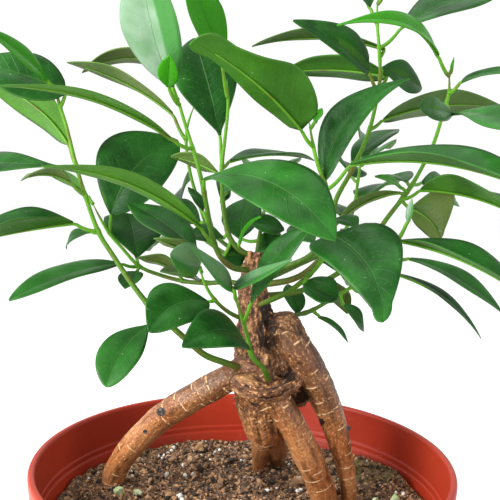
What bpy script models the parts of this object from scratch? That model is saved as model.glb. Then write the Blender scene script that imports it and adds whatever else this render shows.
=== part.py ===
"""A ginseng ficus in its nursery pot: swollen aerial roots that carry a trunk, and the leafy shoots above.

Metres, +Z up. The origin is the middle of the pot's underside, and the front of the plant faces -Y.
"""

import math
from collections import namedtuple

import bmesh
import bpy
from mathutils import Matrix, Vector, noise

MM = 0.001

# The pot is a thin-walled round nursery pot with a wide collar at its rim.
RIM_DIAMETER = 0.152
POT_HEIGHT = 0.120
BASE_DIAMETER = 0.108
COLLAR_HEIGHT = 0.022
COLLAR_STEP = 0.0022
COLLAR_DRAFT = 0.0014
RIM_WALL = 0.0026
WALL = 0.0017
FLOOR = 0.0022
LEDGE_DROP = 0.017
LEDGE_WIDTH = 0.0012
POT_SEGMENTS = 48
DRAIN_HOLES = 5
DRAIN_DIAMETER = 0.008
DRAIN_CIRCLE_RADIUS = 0.036
DRAIN_SEGMENTS = 12
DRILL_DEPTH = 0.0066
SHARP_ANGLE = math.radians(35)

# The potting mix fills the pot to just under the ledge, and is heaped a little against the right wall.
SOIL_LEVEL = POT_HEIGHT - 0.020
SOIL_RINGS = 5
SOIL_SEGMENTS = 32
SOIL_ROUGHNESS = 0.0022
SOIL_GRAIN = 70
HEAP_PLACE = Vector((0.052, 0.030))
HEAP_SPREAD = 0.016
HEAP_HEIGHT = 0.0035

# Parts that touch keep this clearance.
CLEARANCE = 0.0003

# Roots are blended into one body on this grid, and then thinned out to this many triangles.
ROOT_GRID = 0.0014
TRUNK_TRIANGLES = 2600
ROOT_CLEARANCE = 0.0004
ROOT_ROUNDNESS = 4
EASE_FACTOR = 0.5
EASE_STEPS = 5

# A leaf is a thin arched blade, which narrows to its stalk. Stems have this many extra sides a quarter.
BLADE_THICKNESS = 0.00068
BLADE_ROW = 0.010
FEWEST_ROWS = 3
STALK_HALF = 0.00055
TIP_HALF = 0.00035
STEM_ROUNDNESS = 1

# Where the plant is looked at from: routes and leaves are set out in this front view.
VIEW_FRAME = 500
VIEW_FOCUS = 750
VIEW_EYE = Vector((0.0008, -0.2651, POT_HEIGHT + 0.1048))
VIEW_DOWN = math.radians(6.26)
VIEW_ROLL = math.radians(1.29)
VIEW_TURN = Matrix.Rotation(math.pi / 2 - VIEW_DOWN, 3, "X") @ Matrix.Rotation(VIEW_ROLL, 3, "Z")

# A root or trunk run: its points are across, down, behind and radius in millimetres.
ROOTS = {
    "trunk": (
        (256, 252, 2, 3.4),
        (254, 276, 1, 4.4),
        (254, 302, 0, 5.8),
        (257, 328, 0, 7.4),
        (259, 352, 1, 9.0),
        (260, 378, 2, 9.6),
        (262, 402, 3, 9.4),
        (265, 422, 6, 8.6),
        (268, 438, 10, 6.4),
    ),
    "knob": ((277, 326, -1, 4.6), (288, 326, -4, 5.0), (294, 340, -5, 5.4)),
    "shoulder": (
        (270, 330, 1, 6.0),
        (279, 346, 1, 6.4),
        (288, 364, 1, 6.2),
        (294, 382, 3, 5.4),
        (300, 400, 6, 4.6),
    ),
    "heel": ((252, 398, 4, 6.6), (262, 418, 8, 6.8), (284, 412, 7, 5.4)),
    "left_leg": (
        (248, 366, -1, 4.6),
        (228, 378, -2, 4.9),
        (210, 388, 0, 5.2),
        (185, 402, 4, 5.2),
        (165, 415, 8, 5.1),
        (150, 428, 11, 5.0),
        (135, 443, 14, 4.9),
        (122, 459, 17, 4.6),
        (114, 475, 19, 4.5),
        (111, 495, 19, 4.4),
        (110, 520, 19, 4.0),
    ),
    "right_leg": (
        (286, 322, -3, 4.4),
        (291, 338, -5, 5.6),
        (303, 357, -5, 5.7),
        (314, 377, -3, 5.7),
        (323, 397, -1, 5.3),
        (332, 418, 1, 4.8),
        (339, 440, 3, 4.2),
        (344, 462, 5, 3.6),
        (348, 485, 7, 3.2),
        (349, 508, 8, 3.1),
        (350, 540, 8, 2.8),
    ),
    "middle_leg": (
        (268, 384, -5, 4.6),
        (281, 404, -6, 4.6),
        (292, 425, -5, 5.0),
        (303, 446, -3, 5.3),
        (313, 467, 0, 5.1),
        (321, 487, 3, 5.0),
        (327, 508, 5, 4.8),
        (331, 540, 6, 4.4),
    ),
    "back_leg_left": ((263, 425, 9, 5.0), (262, 445, 22, 4.2), (260, 465, 35, 3.2), (260, 492, 39, 3.0)),
    "back_leg_right": ((272, 428, 10, 5.0), (277, 446, 26, 4.2), (277, 460, 40, 3.5), (277, 486, 44, 3.2)),
    "band": (
        (234, 379, -3, 3.6),
        (248, 387, -8, 3.4),
        (266, 392, -9, 3.4),
        (286, 386, -8, 3.3),
        (301, 374, -4, 3.0),
    ),
}

# A leaf: where its stalk leaves the stem, where the blade begins, its tip, its width in millimetres, its
# turn (0 faces the viewer, 90 faces up, 180 shows the underside), how far it arches, folds and bends, where
# along it it is widest, and how much wider its upper half is, how slender its ends are.
LEAF_FIELDS = "joint base tip width turn arch fold bend belly lean taper"
Leaf = namedtuple("Leaf", LEAF_FIELDS, defaults=(0, 0.48, 0, 0.85))
Shoot = namedtuple("Shoot", "thick route leaves")

SHOOTS = {
    "shoot_left": Shoot(
        (2.5, 1.0),
        (
            (246, 370, -2),
            (226, 363, -9),
            (205, 355, -12),
            (187, 340, -13),
            (170, 325, -13),
            (147, 303, -12),
            (130, 281, -11),
            (112, 254, -9),
            (98, 231, -8),
            (85, 195, -8),
            (76, 165, -8),
            (66, 125, -8),
            (59, 103, -8),
            (53, 76, -8),
        ),
        (
            Leaf((54, 87), (47, 80), (-15, 28, -44), 7, 50, 0.04, 12),
            Leaf((61, 107), (66, 92), (-34, 64, -8), 17, 30, 0.10, 8, 0, 0.36),
            Leaf((76, 165), (69, 143), (-24, 76, 14), 23, 128, 0.10, 10),
            Leaf((85, 195), (70, 181), (21, 180, -22), 12, 100, 0.14, 15),
            Leaf((77, 169), (60, 166), (-60, 168, 8), 16, 62, 0.03, 8, 0, 0.62),
            Leaf((98, 231), (73, 222), (-32, 243, -28), 21, 77, 0.02, 38),
            Leaf((98, 232), (90, 231), (67, 248, 6), 5, 60, 0.15, 10),
            Leaf((147, 303), (148, 325), (106, 386, -36), 15, 30, 0.06, 8, 0.06, 0.58, 0, 0.6),
        ),
    ),
    "shoot_left_back": Shoot(
        (2.0, 0.9),
        (
            (248, 285, 2),
            (228, 282, 7),
            (206, 283, 11),
            (183, 281, 14),
            (160, 275, 15),
            (139, 266, 14),
            (122, 248, 13),
            (109, 233, 12),
            (98, 214, 11),
            (92, 202, 11),
        ),
        (
            Leaf((109, 233), (111, 214), (178, 140, 22), 28, 15, 0.05, 8, 0.12, 0.50, 0.1, 0.7),
            Leaf((139, 266), (121, 263), (9, 300, -18), 14, 62, 0.06, 10, 0, 0.5, 0, 0.65),
            Leaf((139, 266), (137, 258), (127, 213, 38), 24, 25, 0.06, 8, 0, 0.58),
            Leaf((139, 266), (137, 271), (125, 288, 2), 10, 40, 0.05, 12),
            Leaf((183, 281), (178, 270), (137, 257, 6), 12, 110, 0.05, 10),
            Leaf((206, 283), (200, 279), (160, 271, -2), 10, 68, 0.05, 10),
            Leaf((93, 204), (88, 195), (52, 176, 20), 13, 110, 0.06, 12),
        ),
    ),
    "shoot_centre_left": Shoot(
        (2.3, 1.0),
        (
            (250, 270, -1),
            (234, 268, -8),
            (222, 259, -12),
            (214, 243, -13),
            (210, 225, -14),
            (204, 192, -15),
            (197, 162, -15),
            (191, 143, -15),
            (183, 117, -15),
            (174, 86, -15),
        ),
        (
            Leaf((192, 149), (170, 137), (-14, 86, -66), 10, 104, 0.08, 6),
            Leaf((213, 243), (200, 226), (42, 166, -58), 13, 112, 0.085, 8),
            Leaf((178, 100), (172, 86), (140, -46, -34), 22, -36, 0.06, 8),
            Leaf((179, 105), (168, 86), (170, 54, -32), 7, 15, 0.04, 10),
            Leaf((204, 192), (204, 178), (336, 240, -52), 24, 42, 0.13, 8, 0.06, 0.60, 0, 0.8),
            Leaf((210, 225), (203, 210), (188, 187, -8), 7, 60, 0.05, 10),
        ),
    ),
    "shoot_thin_back": Shoot(
        (1.7, 0.8),
        (
            (252, 260, 3),
            (230, 248, 8),
            (209, 228, 11),
            (198, 200, 12),
            (190, 172, 12),
            (186, 140, 12),
            (189, 120, 12),
            (196, 102, 13),
        ),
        (
            Leaf((186, 140), (173, 113), (67, 62, 20), 14, 108, 0.06, 10),
            Leaf((195, 104), (178, 78), (82, 72, 26), 14, 112, 0.18, 10),
            Leaf((196, 103), (203, 88), (214, 40, 44), 16, 40, 0.05, 10),
            Leaf((206, 222), (200, 222), (160, 206, 30), 12, 30, 0.05, 10),
        ),
    ),
    "shoot_centre": Shoot(
        (2.0, 1.0),
        (
            (253, 256, 1),
            (240, 250, 0),
            (230, 238, 0),
            (225, 220, 0),
            (222, 190, 0),
            (222, 165, 0),
            (225, 138, 0),
            (228, 108, 0),
            (227, 79, 0),
        ),
        (
            Leaf((223, 165), (220, 134), (194, 38, 14), 23, 12, 0.05, 8, 0, 0.60, 0, 0.75),
            Leaf((228, 98), (222, 62), (184, -28, -10), 14, 35, 0.05, 12),
            Leaf((231, 240), (224, 256), (245, 255, 3), 9, 10, 0.03, 10, 0, 0.5, 0, 0.65),
            Leaf((222, 178), (218, 172), (171, 156, 6), 10, 120, 0.05, 10),
            Leaf((222, 196), (226, 192), (252, 176, 20), 13, 70, 0.05, 10),
            Leaf((222, 168), (230, 160), (314, 160, 26), 15, 84, 0.06, 10),
            Leaf((228, 232), (224, 237), (190, 233, 2), 10, 50, 0.05, 10, 0, 0.6),
            Leaf((224, 206), (222, 201), (221, 178, 16), 7, 40, 0.05, 10),
        ),
    ),
    "shoot_right_centre": Shoot(
        (2.4, 1.0),
        (
            (256, 274, -1),
            (285, 267, -8),
            (310, 256, -12),
            (325, 236, -12),
            (328, 212, -12),
            (326, 188, -12),
            (318, 165, -13),
            (313, 145, -13),
            (309, 120, -13),
        ),
        (
            Leaf((313, 147), (301, 129), (194, 38, -46), 17, 146, 0.02, 12, 0.05, 0.30, 0.40, 0.5),
            Leaf((325, 184), (325, 179), (411, 78, -14), 14, 34, 0.05, 8, 0.17, 0.36, 0.1, 1.0),
            Leaf((326, 190), (350, 164), (560, 205, -50), 21, 75, 0.09, 26),
            Leaf((311, 128), (315, 121), (322, 108, -10), 4, 40, 0.05, 10),
            Leaf((328, 214), (336, 218), (358, 226, -22), 9, 60, 0.05, 10),
            Leaf((322, 240), (314, 242), (290, 226, 8), 10, 40, 0.05, 10),
        ),
    ),
    "shoot_right_tall": Shoot(
        (2.4, 0.9),
        (
            (258, 285, 0),
            (290, 280, -3),
            (310, 269, -4),
            (326, 250, -4),
            (333, 225, -3),
            (336, 200, -1),
            (352, 170, 3),
            (367, 137, 5),
            (375, 108, 5),
            (380, 78, 5),
            (379, 47, 5),
            (377, 20, 5),
            (378, -4, 5),
        ),
        (
            Leaf((376, 91), (369, 71), (293, 20, -16), 12, 44, 0.05, 10, 0.02, 0.28, 0.35, 0.75),
            Leaf((380, 58), (385, 48), (252, 46, 26), 15, 102, 0.07, 12),
            Leaf((380, 48), (402, 26), (515, -14, 20), 21, 60, 0.05, 10),
            Leaf((371, 130), (383, 119), (505, 108, 32), 16, 125, 0.07, 10, 0, 0.38),
            Leaf((380, 88), (388, 76), (281, 73, 34), 17, 122, 0.05, 10, 0, 0.4),
            Leaf((380, 78), (382, 68), (422, 88, 24), 12, 40, 0.05, 10),
            Leaf((352, 170), (352, 160), (399, 129, 28), 13, 60, 0.05, 10),
            Leaf((378, 24), (370, 6), (340, -38, 10), 17, 60, 0.05, 14),
            Leaf((378, 4), (386, -10), (410, -52, -8), 12, 40, 0.05, 14),
        ),
    ),
    "shoot_far_right": Shoot(
        (2.2, 1.0),
        (
            (256, 296, 3),
            (300, 291, 7),
            (340, 272, 11),
            (366, 247, 12),
            (388, 217, 12),
            (402, 199, 11),
            (415, 180, 10),
            (433, 145, 8),
            (444, 110, 6),
            (449, 92, 6),
            (449, 70, 6),
        ),
        (
            Leaf((448, 76), (438, 54), (337, 25, -24), 11, 58, 0.15, 14, 0.03, 0.28, 0, 1.25),
            Leaf((449, 94), (462, 80), (530, 71, -12), 6, 66, 0.07, 10, 0, 0.3, 0, 0.7),
            Leaf((446, 102), (450, 113), (544, 134, -48), 14, 55, 0.05, 10, 0, 0.66),
            Leaf((445, 106), (452, 114), (420, 107, -24), 8, 30, 0.03, 10, 0, 0.60, 0, 0.55),
            Leaf((402, 199), (421, 189), (536, 226, -36), 21, 92, 0.06, 27),
            Leaf((406, 194), (398, 192), (334, 228, 8), 9, 112, 0.12, 10),
            Leaf((408, 192), (402, 187), (375, 176, -4), 4, 60, 0.05, 14),
            Leaf((411, 186), (407, 181), (388, 176, 38), 12, 70, 0.05, 10),
            Leaf((413, 184), (422, 182), (457, 203, 40), 15, 60, 0.06, 10),
            Leaf((402, 200), (410, 208), (441, 238, 2), 21, 150, 0.05, 8, 0.11, 0.44, 0.45),
        ),
    ),
    "shoot_right_front": Shoot(
        (2.0, 1.0),
        (
            (258, 305, -4),
            (288, 292, -14),
            (312, 272, -22),
            (330, 251, -28),
            (350, 240, -30),
            (375, 238, -30),
            (398, 242, -30),
        ),
        (
            Leaf((333, 250), (330, 234), (383, 321, -62), 25, 18, 0.05, 6, 0.11, 0.22, 0.14, 0.8),
            Leaf((394, 242), (402, 240), (530, 300, -52), 18, 74, 0.06, 24),
            Leaf((308, 275), (304, 283), (337, 300, -26), 14, 50, 0.05, 10, 0, 0.5, 0, 0.6),
        ),
    ),
    "shoot_right_low": Shoot(
        (1.8, 0.9),
        (
            (268, 318, 2),
            (305, 313, 9),
            (330, 300, 14),
            (355, 285, 16),
            (380, 270, 16),
            (402, 258, 16),
        ),
        (
            Leaf((400, 260), (410, 258), (503, 313, -2), 11, 62, 0.08, 12),
            Leaf((380, 270), (396, 273), (481, 338, 0), 8, 72, 0.10, 12),
            Leaf((330, 300), (321, 277), (347, 313, 30), 12, 130, 0.05, 10, 0, 0.48, 0, 0.75),
            Leaf((340, 294), (344, 305), (364, 331, 20), 9, 60, 0.08, 10),
            Leaf((312, 309), (320, 316), (348, 342, 8), 6, 70, 0.08, 10),
            Leaf((352, 287), (362, 292), (384, 316, 36), 13, 70, 0.06, 10),
            Leaf((305, 313), (297, 313), (288, 284, 22), 10, 40, 0.05, 10),
        ),
    ),
    "sprig_front": Shoot(
        (2.1, 1.0),
        (
            (270, 386, -5),
            (264, 369, -13),
            (252, 356, -16),
            (247, 335, -17),
            (241, 314, -19),
            (231, 286, -22),
        ),
        (
            Leaf((233, 291), (232, 286), (191, 246, -48), 7.5, 50, 0.02, 14, -0.04, 0.34, 0, 0.7),
            Leaf((236, 299), (234, 286), (292, 259, -40), 6, 50, 0.02, 14, -0.04, 0.32, 0, 0.8),
            Leaf((251, 354), (248, 347), (182, 346, -44), 17, 42, 0.16, 8, 0.08, 0.48, 0, 0.75),
            Leaf((244, 322), (251, 301), (314, 224, -32), 11, 44, 0.05, 8, 0.05),
        ),
    ),
    "sprig_left_low": Shoot(
        (1.7, 0.8),
        (
            (250, 322, -2),
            (230, 313, -10),
            (215, 300, -14),
            (204, 282, -16),
            (199, 262, -17),
        ),
        (
            Leaf((215, 300), (208, 301), (149, 331, -32), 19, 32, 0.07, 8, 0.14, 0.48, 0, 0.7),
            Leaf((201, 272), (200, 266), (170, 254, -36), 11, 14, 0.10, 8, 0, 0.6, 0, 0.6),
            Leaf((199, 264), (190, 254), (154, 238, -30), 11, 110, 0.05, 10),
            Leaf((199, 263), (196, 250), (128, 203, 6), 16, 50, 0.05, 10),
        ),
    ),
    "shoot_back_left": Shoot(
        (1.9, 0.9),
        (
            (252, 272, 5),
            (232, 258, 16),
            (205, 240, 26),
            (175, 214, 33),
            (152, 189, 37),
            (138, 165, 39),
        ),
        (
            Leaf((192, 229), (186, 232), (150, 250, 60), 20, 80, 0.06, 10),
            Leaf((175, 214), (180, 206), (190, 180, 72), 20, 80, 0.06, 10),
            Leaf((163, 201), (155, 199), (112, 192, 68), 21, 80, 0.06, 10),
            Leaf((152, 189), (155, 182), (168, 158, 72), 20, 80, 0.06, 10),
            Leaf((143, 174), (137, 175), (106, 172, 64), 18, 80, 0.06, 10),
            Leaf((138, 166), (140, 160), (152, 150, 76), 15, 80, 0.06, 10),
        ),
    ),
    "shoot_back_middle": Shoot(
        (1.9, 0.9),
        (
            (256, 264, 4),
            (258, 246, 20),
            (262, 222, 29),
            (267, 196, 34),
            (271, 172, 37),
        ),
        (
            Leaf((259, 240), (240, 238), (246, 198, 40), 17, 20, 0.05, 10),
            Leaf((263, 218), (284, 229), (250, 222, 24), 9, 35, 0.05, 10),
            Leaf((262, 225), (280, 234), (257, 251, 26), 9, 35, 0.05, 10),
            Leaf((266, 200), (272, 197), (304, 186, 72), 20, 80, 0.06, 10),
            Leaf((269, 186), (265, 181), (246, 166, 78), 19, 80, 0.06, 10),
            Leaf((271, 173), (275, 170), (290, 166, 80), 17, 80, 0.06, 10),
        ),
    ),
    "shoot_back_right": Shoot(
        (2.1, 0.9),
        (
            (260, 282, 4),
            (296, 266, 20),
            (334, 246, 31),
            (352, 214, 35),
            (358, 180, 37),
            (362, 150, 39),
        ),
        (
            Leaf((318, 254), (321, 260), (346, 284, 58), 18, 80, 0.06, 10),
            Leaf((336, 243), (345, 240), (386, 238, 68), 21, 80, 0.06, 10),
            Leaf((350, 220), (343, 217), (316, 202, 72), 20, 80, 0.06, 10),
            Leaf((354, 202), (362, 199), (396, 184, 70), 20, 80, 0.06, 10),
            Leaf((358, 181), (352, 176), (334, 158, 76), 20, 80, 0.06, 10),
            Leaf((360, 165), (366, 160), (390, 148, 76), 18, 80, 0.06, 10),
            Leaf((362, 151), (361, 144), (354, 126, 78), 17, 80, 0.06, 10),
        ),
    ),
}


def seen(across, down, behind):
    """The point that the front view shows at across and down, behind millimetres behind the pot's axis."""
    middle = VIEW_FRAME / 2
    ray = VIEW_TURN @ Vector((across - middle, middle - down, -VIEW_FOCUS))
    return VIEW_EYE + ray * ((behind * MM - VIEW_EYE.y) / ray.y)


def material(name, colour, roughness):
    """A plain finish of one colour."""
    finish = bpy.data.materials.new(name)
    finish.use_nodes = True
    shader = finish.node_tree.nodes["Principled BSDF"]
    shader.inputs["Base Color"].default_value = (*colour, 1)
    shader.inputs["Roughness"].default_value = roughness
    shader.inputs["Metallic"].default_value = 0
    return finish


def mesh_object(name, bm, collection):
    """A new object that holds the bmesh, which is freed."""
    mesh = bpy.data.meshes.new(name)
    bm.to_mesh(mesh)
    bm.free()
    obj = bpy.data.objects.new(name, mesh)
    collection.objects.link(obj)
    return obj


def settle(obj):
    """Applies the object's modifiers to its mesh."""
    graph = bpy.context.evaluated_depsgraph_get()
    mesh = bpy.data.meshes.new_from_object(obj.evaluated_get(graph))
    obj.modifiers.clear()
    obj.data = mesh


def tube(name, points, radii, resolution, collection):
    """A closed round run through the points, with a radius in millimetres at each."""
    curve = bpy.data.curves.new(name, "CURVE")
    curve.dimensions = "3D"
    curve.bevel_depth = MM
    curve.bevel_resolution = resolution
    curve.use_fill_caps = True
    spline = curve.splines.new("POLY")
    spline.points.add(len(points) - 1)
    for place, point, radius in zip(spline.points, points, radii):
        place.co = (*point, 1)
        place.radius = radius
    guide = bpy.data.objects.new(name, curve)
    collection.objects.link(guide)
    graph = bpy.context.evaluated_depsgraph_get()
    mesh = bpy.data.meshes.new_from_object(guide.evaluated_get(graph))
    bpy.data.objects.remove(guide)
    bpy.data.curves.remove(curve)
    obj = bpy.data.objects.new(name, mesh)
    collection.objects.link(obj)
    return obj


def turned(name, profile, segments):
    """A solid turned round the Z axis from a profile that starts and ends on it."""
    bm = bmesh.new()
    verts = [bm.verts.new((radius, 0, height)) for radius, height in profile]
    for lower, upper in zip(verts, verts[1:]):
        bm.edges.new((lower, upper))
    bmesh.ops.spin(
        bm,
        geom=bm.verts[:] + bm.edges[:],
        cent=(0, 0, 0),
        axis=(0, 0, 1),
        angle=math.tau,
        steps=segments,
        use_merge=True,
    )
    bmesh.ops.remove_doubles(bm, verts=bm.verts, dist=MM / 100)
    bmesh.ops.recalc_face_normals(bm, faces=bm.faces)
    return mesh_object(name, bm, bpy.context.collection)


def inner_radius(height):
    """The pot's inside radius below its ledge, which tapers as the outside does."""
    top = RIM_DIAMETER / 2 - COLLAR_DRAFT - COLLAR_STEP - WALL
    bottom = BASE_DIAMETER / 2 - WALL
    return bottom + (top - bottom) * height / (POT_HEIGHT - COLLAR_HEIGHT)


def make_pot():
    """The pot, with its collar, the ledge inside it and its drain holes."""
    rim = RIM_DIAMETER / 2
    collar_foot = POT_HEIGHT - COLLAR_HEIGHT
    ledge = POT_HEIGHT - LEDGE_DROP
    profile = (
        (0, 0),
        (BASE_DIAMETER / 2 - MM, 0),
        (BASE_DIAMETER / 2, MM),
        (rim - COLLAR_DRAFT - COLLAR_STEP, collar_foot),
        (rim - COLLAR_DRAFT, collar_foot + MM / 2),
        (rim, POT_HEIGHT - MM),
        (rim - MM / 2, POT_HEIGHT),
        (rim - RIM_WALL + MM / 2, POT_HEIGHT),
        (rim - RIM_WALL, POT_HEIGHT - MM),
        (inner_radius(ledge) + LEDGE_WIDTH, ledge + MM),
        (inner_radius(ledge), ledge),
        (inner_radius(FLOOR), FLOOR),
        (0, FLOOR),
    )
    pot = turned("pot", profile, POT_SEGMENTS)
    pot.data.materials.append(material("terracotta plastic", (0.55, 0.12, 0.055), 0.42))
    for index in range(DRAIN_HOLES):
        angle = math.tau * index / DRAIN_HOLES
        bm = bmesh.new()
        across = DRAIN_CIRCLE_RADIUS * math.cos(angle)
        behind = DRAIN_CIRCLE_RADIUS * math.sin(angle)
        bmesh.ops.create_cone(
            bm,
            cap_ends=True,
            segments=DRAIN_SEGMENTS,
            radius1=DRAIN_DIAMETER / 2,
            radius2=DRAIN_DIAMETER / 2,
            depth=DRILL_DEPTH,
            matrix=Matrix.Translation((across, behind, FLOOR / 2)),
        )
        drill = mesh_object(f"drain_drill_{index}", bm, bpy.context.collection)
        drill.hide_render = True
        drill.display_type = "WIRE"
        cut = pot.modifiers.new("drain", "BOOLEAN")
        cut.operation = "DIFFERENCE"
        cut.object = drill
    pot.data.shade_smooth()
    pot.data.set_sharp_from_angle(angle=SHARP_ANGLE)
    return pot


def soil_height(place):
    """The lumpy top of the potting mix, drawn up a little against the right wall."""
    lumps = noise.noise(Vector((place.x, place.y, 0)) * SOIL_GRAIN)
    heap = math.exp(-(((place.xy - HEAP_PLACE).length / HEAP_SPREAD) ** 2))
    return SOIL_LEVEL + SOIL_ROUGHNESS * lumps + HEAP_HEIGHT * heap


def make_soil(root_room):
    """The potting mix, with a plain hole for each root that stands in it."""
    top_radius = inner_radius(SOIL_LEVEL - 2 * SOIL_ROUGHNESS) - CLEARANCE
    floor = FLOOR + CLEARANCE
    shoulder = SOIL_LEVEL - 2 * SOIL_ROUGHNESS
    profile = [(0, floor), (inner_radius(floor) - CLEARANCE, floor), (top_radius, shoulder)]
    for ring in range(SOIL_RINGS):
        share = 1 - ring / SOIL_RINGS
        profile.append(((top_radius - CLEARANCE) * share, SOIL_LEVEL))
    profile.append((0, SOIL_LEVEL))
    soil = turned("potting_mix", profile, SOIL_SEGMENTS)
    for vert in soil.data.vertices:
        if vert.co.z > SOIL_LEVEL - SOIL_ROUGHNESS:
            vert.co.z = soil_height(vert.co)
    holes = soil.modifiers.new("root holes", "BOOLEAN")
    holes.operation = "DIFFERENCE"
    holes.object = root_room
    settle(soil)
    soil.data.materials.append(material("potting mix", (0.055, 0.032, 0.02), 0.95))
    return soil


def make_trunk():
    """The swollen roots and the trunk, grown together into one body."""
    bm = bmesh.new()
    for name, run in ROOTS.items():
        points = [seen(*point[:3]) for point in run]
        piece = tube(name, points, [point[3] for point in run], ROOT_ROUNDNESS, bpy.context.collection)
        bm.from_mesh(piece.data)
        bpy.data.objects.remove(piece)
    trunk = mesh_object("trunk_and_roots", bm, bpy.context.collection)
    blend = trunk.modifiers.new("blend", "REMESH")
    blend.mode = "VOXEL"
    blend.voxel_size = ROOT_GRID
    ease = trunk.modifiers.new("ease", "SMOOTH")
    ease.factor = EASE_FACTOR
    ease.iterations = EASE_STEPS
    settle(trunk)
    thin = trunk.modifiers.new("thin", "DECIMATE")
    thin.ratio = TRUNK_TRIANGLES / (2 * len(trunk.data.polygons))
    settle(trunk)
    trunk.data.shade_smooth()
    trunk.data.materials.append(material("bark", (0.25, 0.12, 0.06), 0.8))
    return trunk


def room_round(trunk):
    """The trunk's shape with clearance all round, which cuts the holes and seats beside it."""
    room = bpy.data.objects.new("root_room", trunk.data.copy())
    bpy.context.collection.objects.link(room)
    grow = room.modifiers.new("grow", "DISPLACE")
    grow.strength = ROOT_CLEARANCE
    grow.mid_level = 0
    settle(room)
    room.hide_render = True
    room.display_type = "WIRE"
    return room


def on_stem(route, across, down):
    """The point of a stem's route that the front view shows nearest to across, down."""
    target = Vector((across, down))
    nearest = None
    for start, end in zip(route, route[1:]):
        start = Vector(start)
        run = Vector(end) - start
        share = (target - start.xy).dot(run.xy) / run.xy.length_squared
        point = start + run * min(1, max(0, share))
        if nearest is None or (point.xy - target).length < (nearest.xy - target).length:
            nearest = point
    return nearest


def outline(along, belly, taper):
    """Half of a blade's width at a place along it, as a share of the widest half."""
    return max(0, math.sin(math.pi * along ** (math.log(0.5) / math.log(belly)))) ** taper


class Blade:
    """The place and shape of one leaf."""

    def __init__(self, route, leaf):
        joint = on_stem(route, *leaf.joint)
        stalk = (Vector(leaf.base) - joint.xy).length
        whole = stalk + (Vector(leaf.tip[:2]) - Vector(leaf.base)).length
        behind = joint.z + (leaf.tip[2] - joint.z) * stalk / whole
        self.joint = seen(*joint)
        self.base = seen(*leaf.base, behind)
        self.chord = seen(*leaf.tip) - self.base
        along = self.chord.normalized()
        facing = VIEW_EYE - self.base - self.chord / 2
        facing = (facing - along * facing.dot(along)).normalized()
        upward = along.cross(facing)
        if upward.z < 0:
            upward.negate()
        turn = math.radians(leaf.turn)
        self.normal = facing * math.cos(turn) + upward * math.sin(turn)
        self.side = along.cross(self.normal)
        if self.side.z < 0:
            self.side.negate()
        self.half = leaf.width * MM / 2
        self.curve = (self.normal * leaf.arch + self.side * leaf.bend) * self.chord.length
        self.fold = math.radians(leaf.fold)
        self.belly = leaf.belly
        self.lean = leaf.lean
        self.taper = leaf.taper

    def rib(self, along):
        """A point of the midrib."""
        return self.base + self.chord * along + self.curve * 4 * along * (1 - along)

    def point(self, along, across):
        """A point of the blade, with across from -1 to 1."""
        least = STALK_HALF + (TIP_HALF - STALK_HALF) * along
        half = self.half * outline(along, self.belly, self.taper)
        half = max(least, half * (1 + self.lean * math.copysign(1, across)))
        rise = self.normal * abs(across) * half * math.sin(self.fold)
        return self.rib(along) + self.side * across * half * math.cos(self.fold) + rise


def blade_solid(name, blade, collection):
    """A thin closed blade with its stalk, whose two faces are split alike."""
    rows = max(FEWEST_ROWS, round(blade.chord.length / BLADE_ROW))
    bm = bmesh.new()
    bmesh.ops.create_grid(bm, x_segments=2, y_segments=rows + 1, size=1)
    for vert in bm.verts:
        row = round((vert.co.y + 1) / 2 * (rows + 1))
        across = vert.co.x
        if row:
            vert.co = blade.point((row - 1) / rows, across)
        else:
            vert.co = blade.joint + blade.side * across * STALK_HALF
    bmesh.ops.triangulate(bm, faces=bm.faces)
    bmesh.ops.solidify(bm, geom=bm.faces, thickness=BLADE_THICKNESS)
    bmesh.ops.recalc_face_normals(bm, faces=bm.faces)
    return mesh_object(name, bm, collection)


def make_shoot(name, shoot, root_room, finish):
    """One leafy stem: its leaves and their stalks joined to it, seated clear of the trunk."""
    points = [seen(*point) for point in shoot.route]
    thick, thin = (diameter / 2 for diameter in shoot.thick)
    radii = [thick + (thin - thick) * index / (len(points) - 1) for index in range(len(points))]
    stem = tube(name, points, radii, STEM_ROUNDNESS, bpy.context.collection)
    pieces = bpy.data.collections.new(f"{name}_pieces")
    bpy.context.scene.collection.children.link(pieces)
    for index, leaf in enumerate(shoot.leaves):
        blade_solid(f"{name}_leaf_{index}", Blade(shoot.route, leaf), pieces)
    join = stem.modifiers.new("join", "BOOLEAN")
    join.operation = "UNION"
    join.operand_type = "COLLECTION"
    join.collection = pieces
    seat = stem.modifiers.new("seat", "BOOLEAN")
    seat.operation = "DIFFERENCE"
    seat.object = root_room
    settle(stem)
    for piece in list(pieces.objects):
        bpy.data.objects.remove(piece)
    bpy.data.collections.remove(pieces)
    stem.data.materials.clear()
    stem.data.materials.append(finish)
    return stem


def main():
    """Builds the whole plant in its pot."""
    for obj in list(bpy.data.objects):
        bpy.data.objects.remove(obj)
    trunk = make_trunk()
    root_room = room_round(trunk)
    make_pot()
    make_soil(root_room)
    foliage = material("leaf", (0.06, 0.19, 0.06), 0.4)
    for name, shoot in SHOOTS.items():
        make_shoot(name, shoot, root_room, foliage)


main()
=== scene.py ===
"""A ginseng ficus in its nursery pot, dressed for the studio.

Metres, +Z up, and the front of the plant faces -Y.
"""

import math
import random
from collections import namedtuple

import bmesh
import bpy
from mathutils import Matrix, Vector, kdtree, noise


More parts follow.
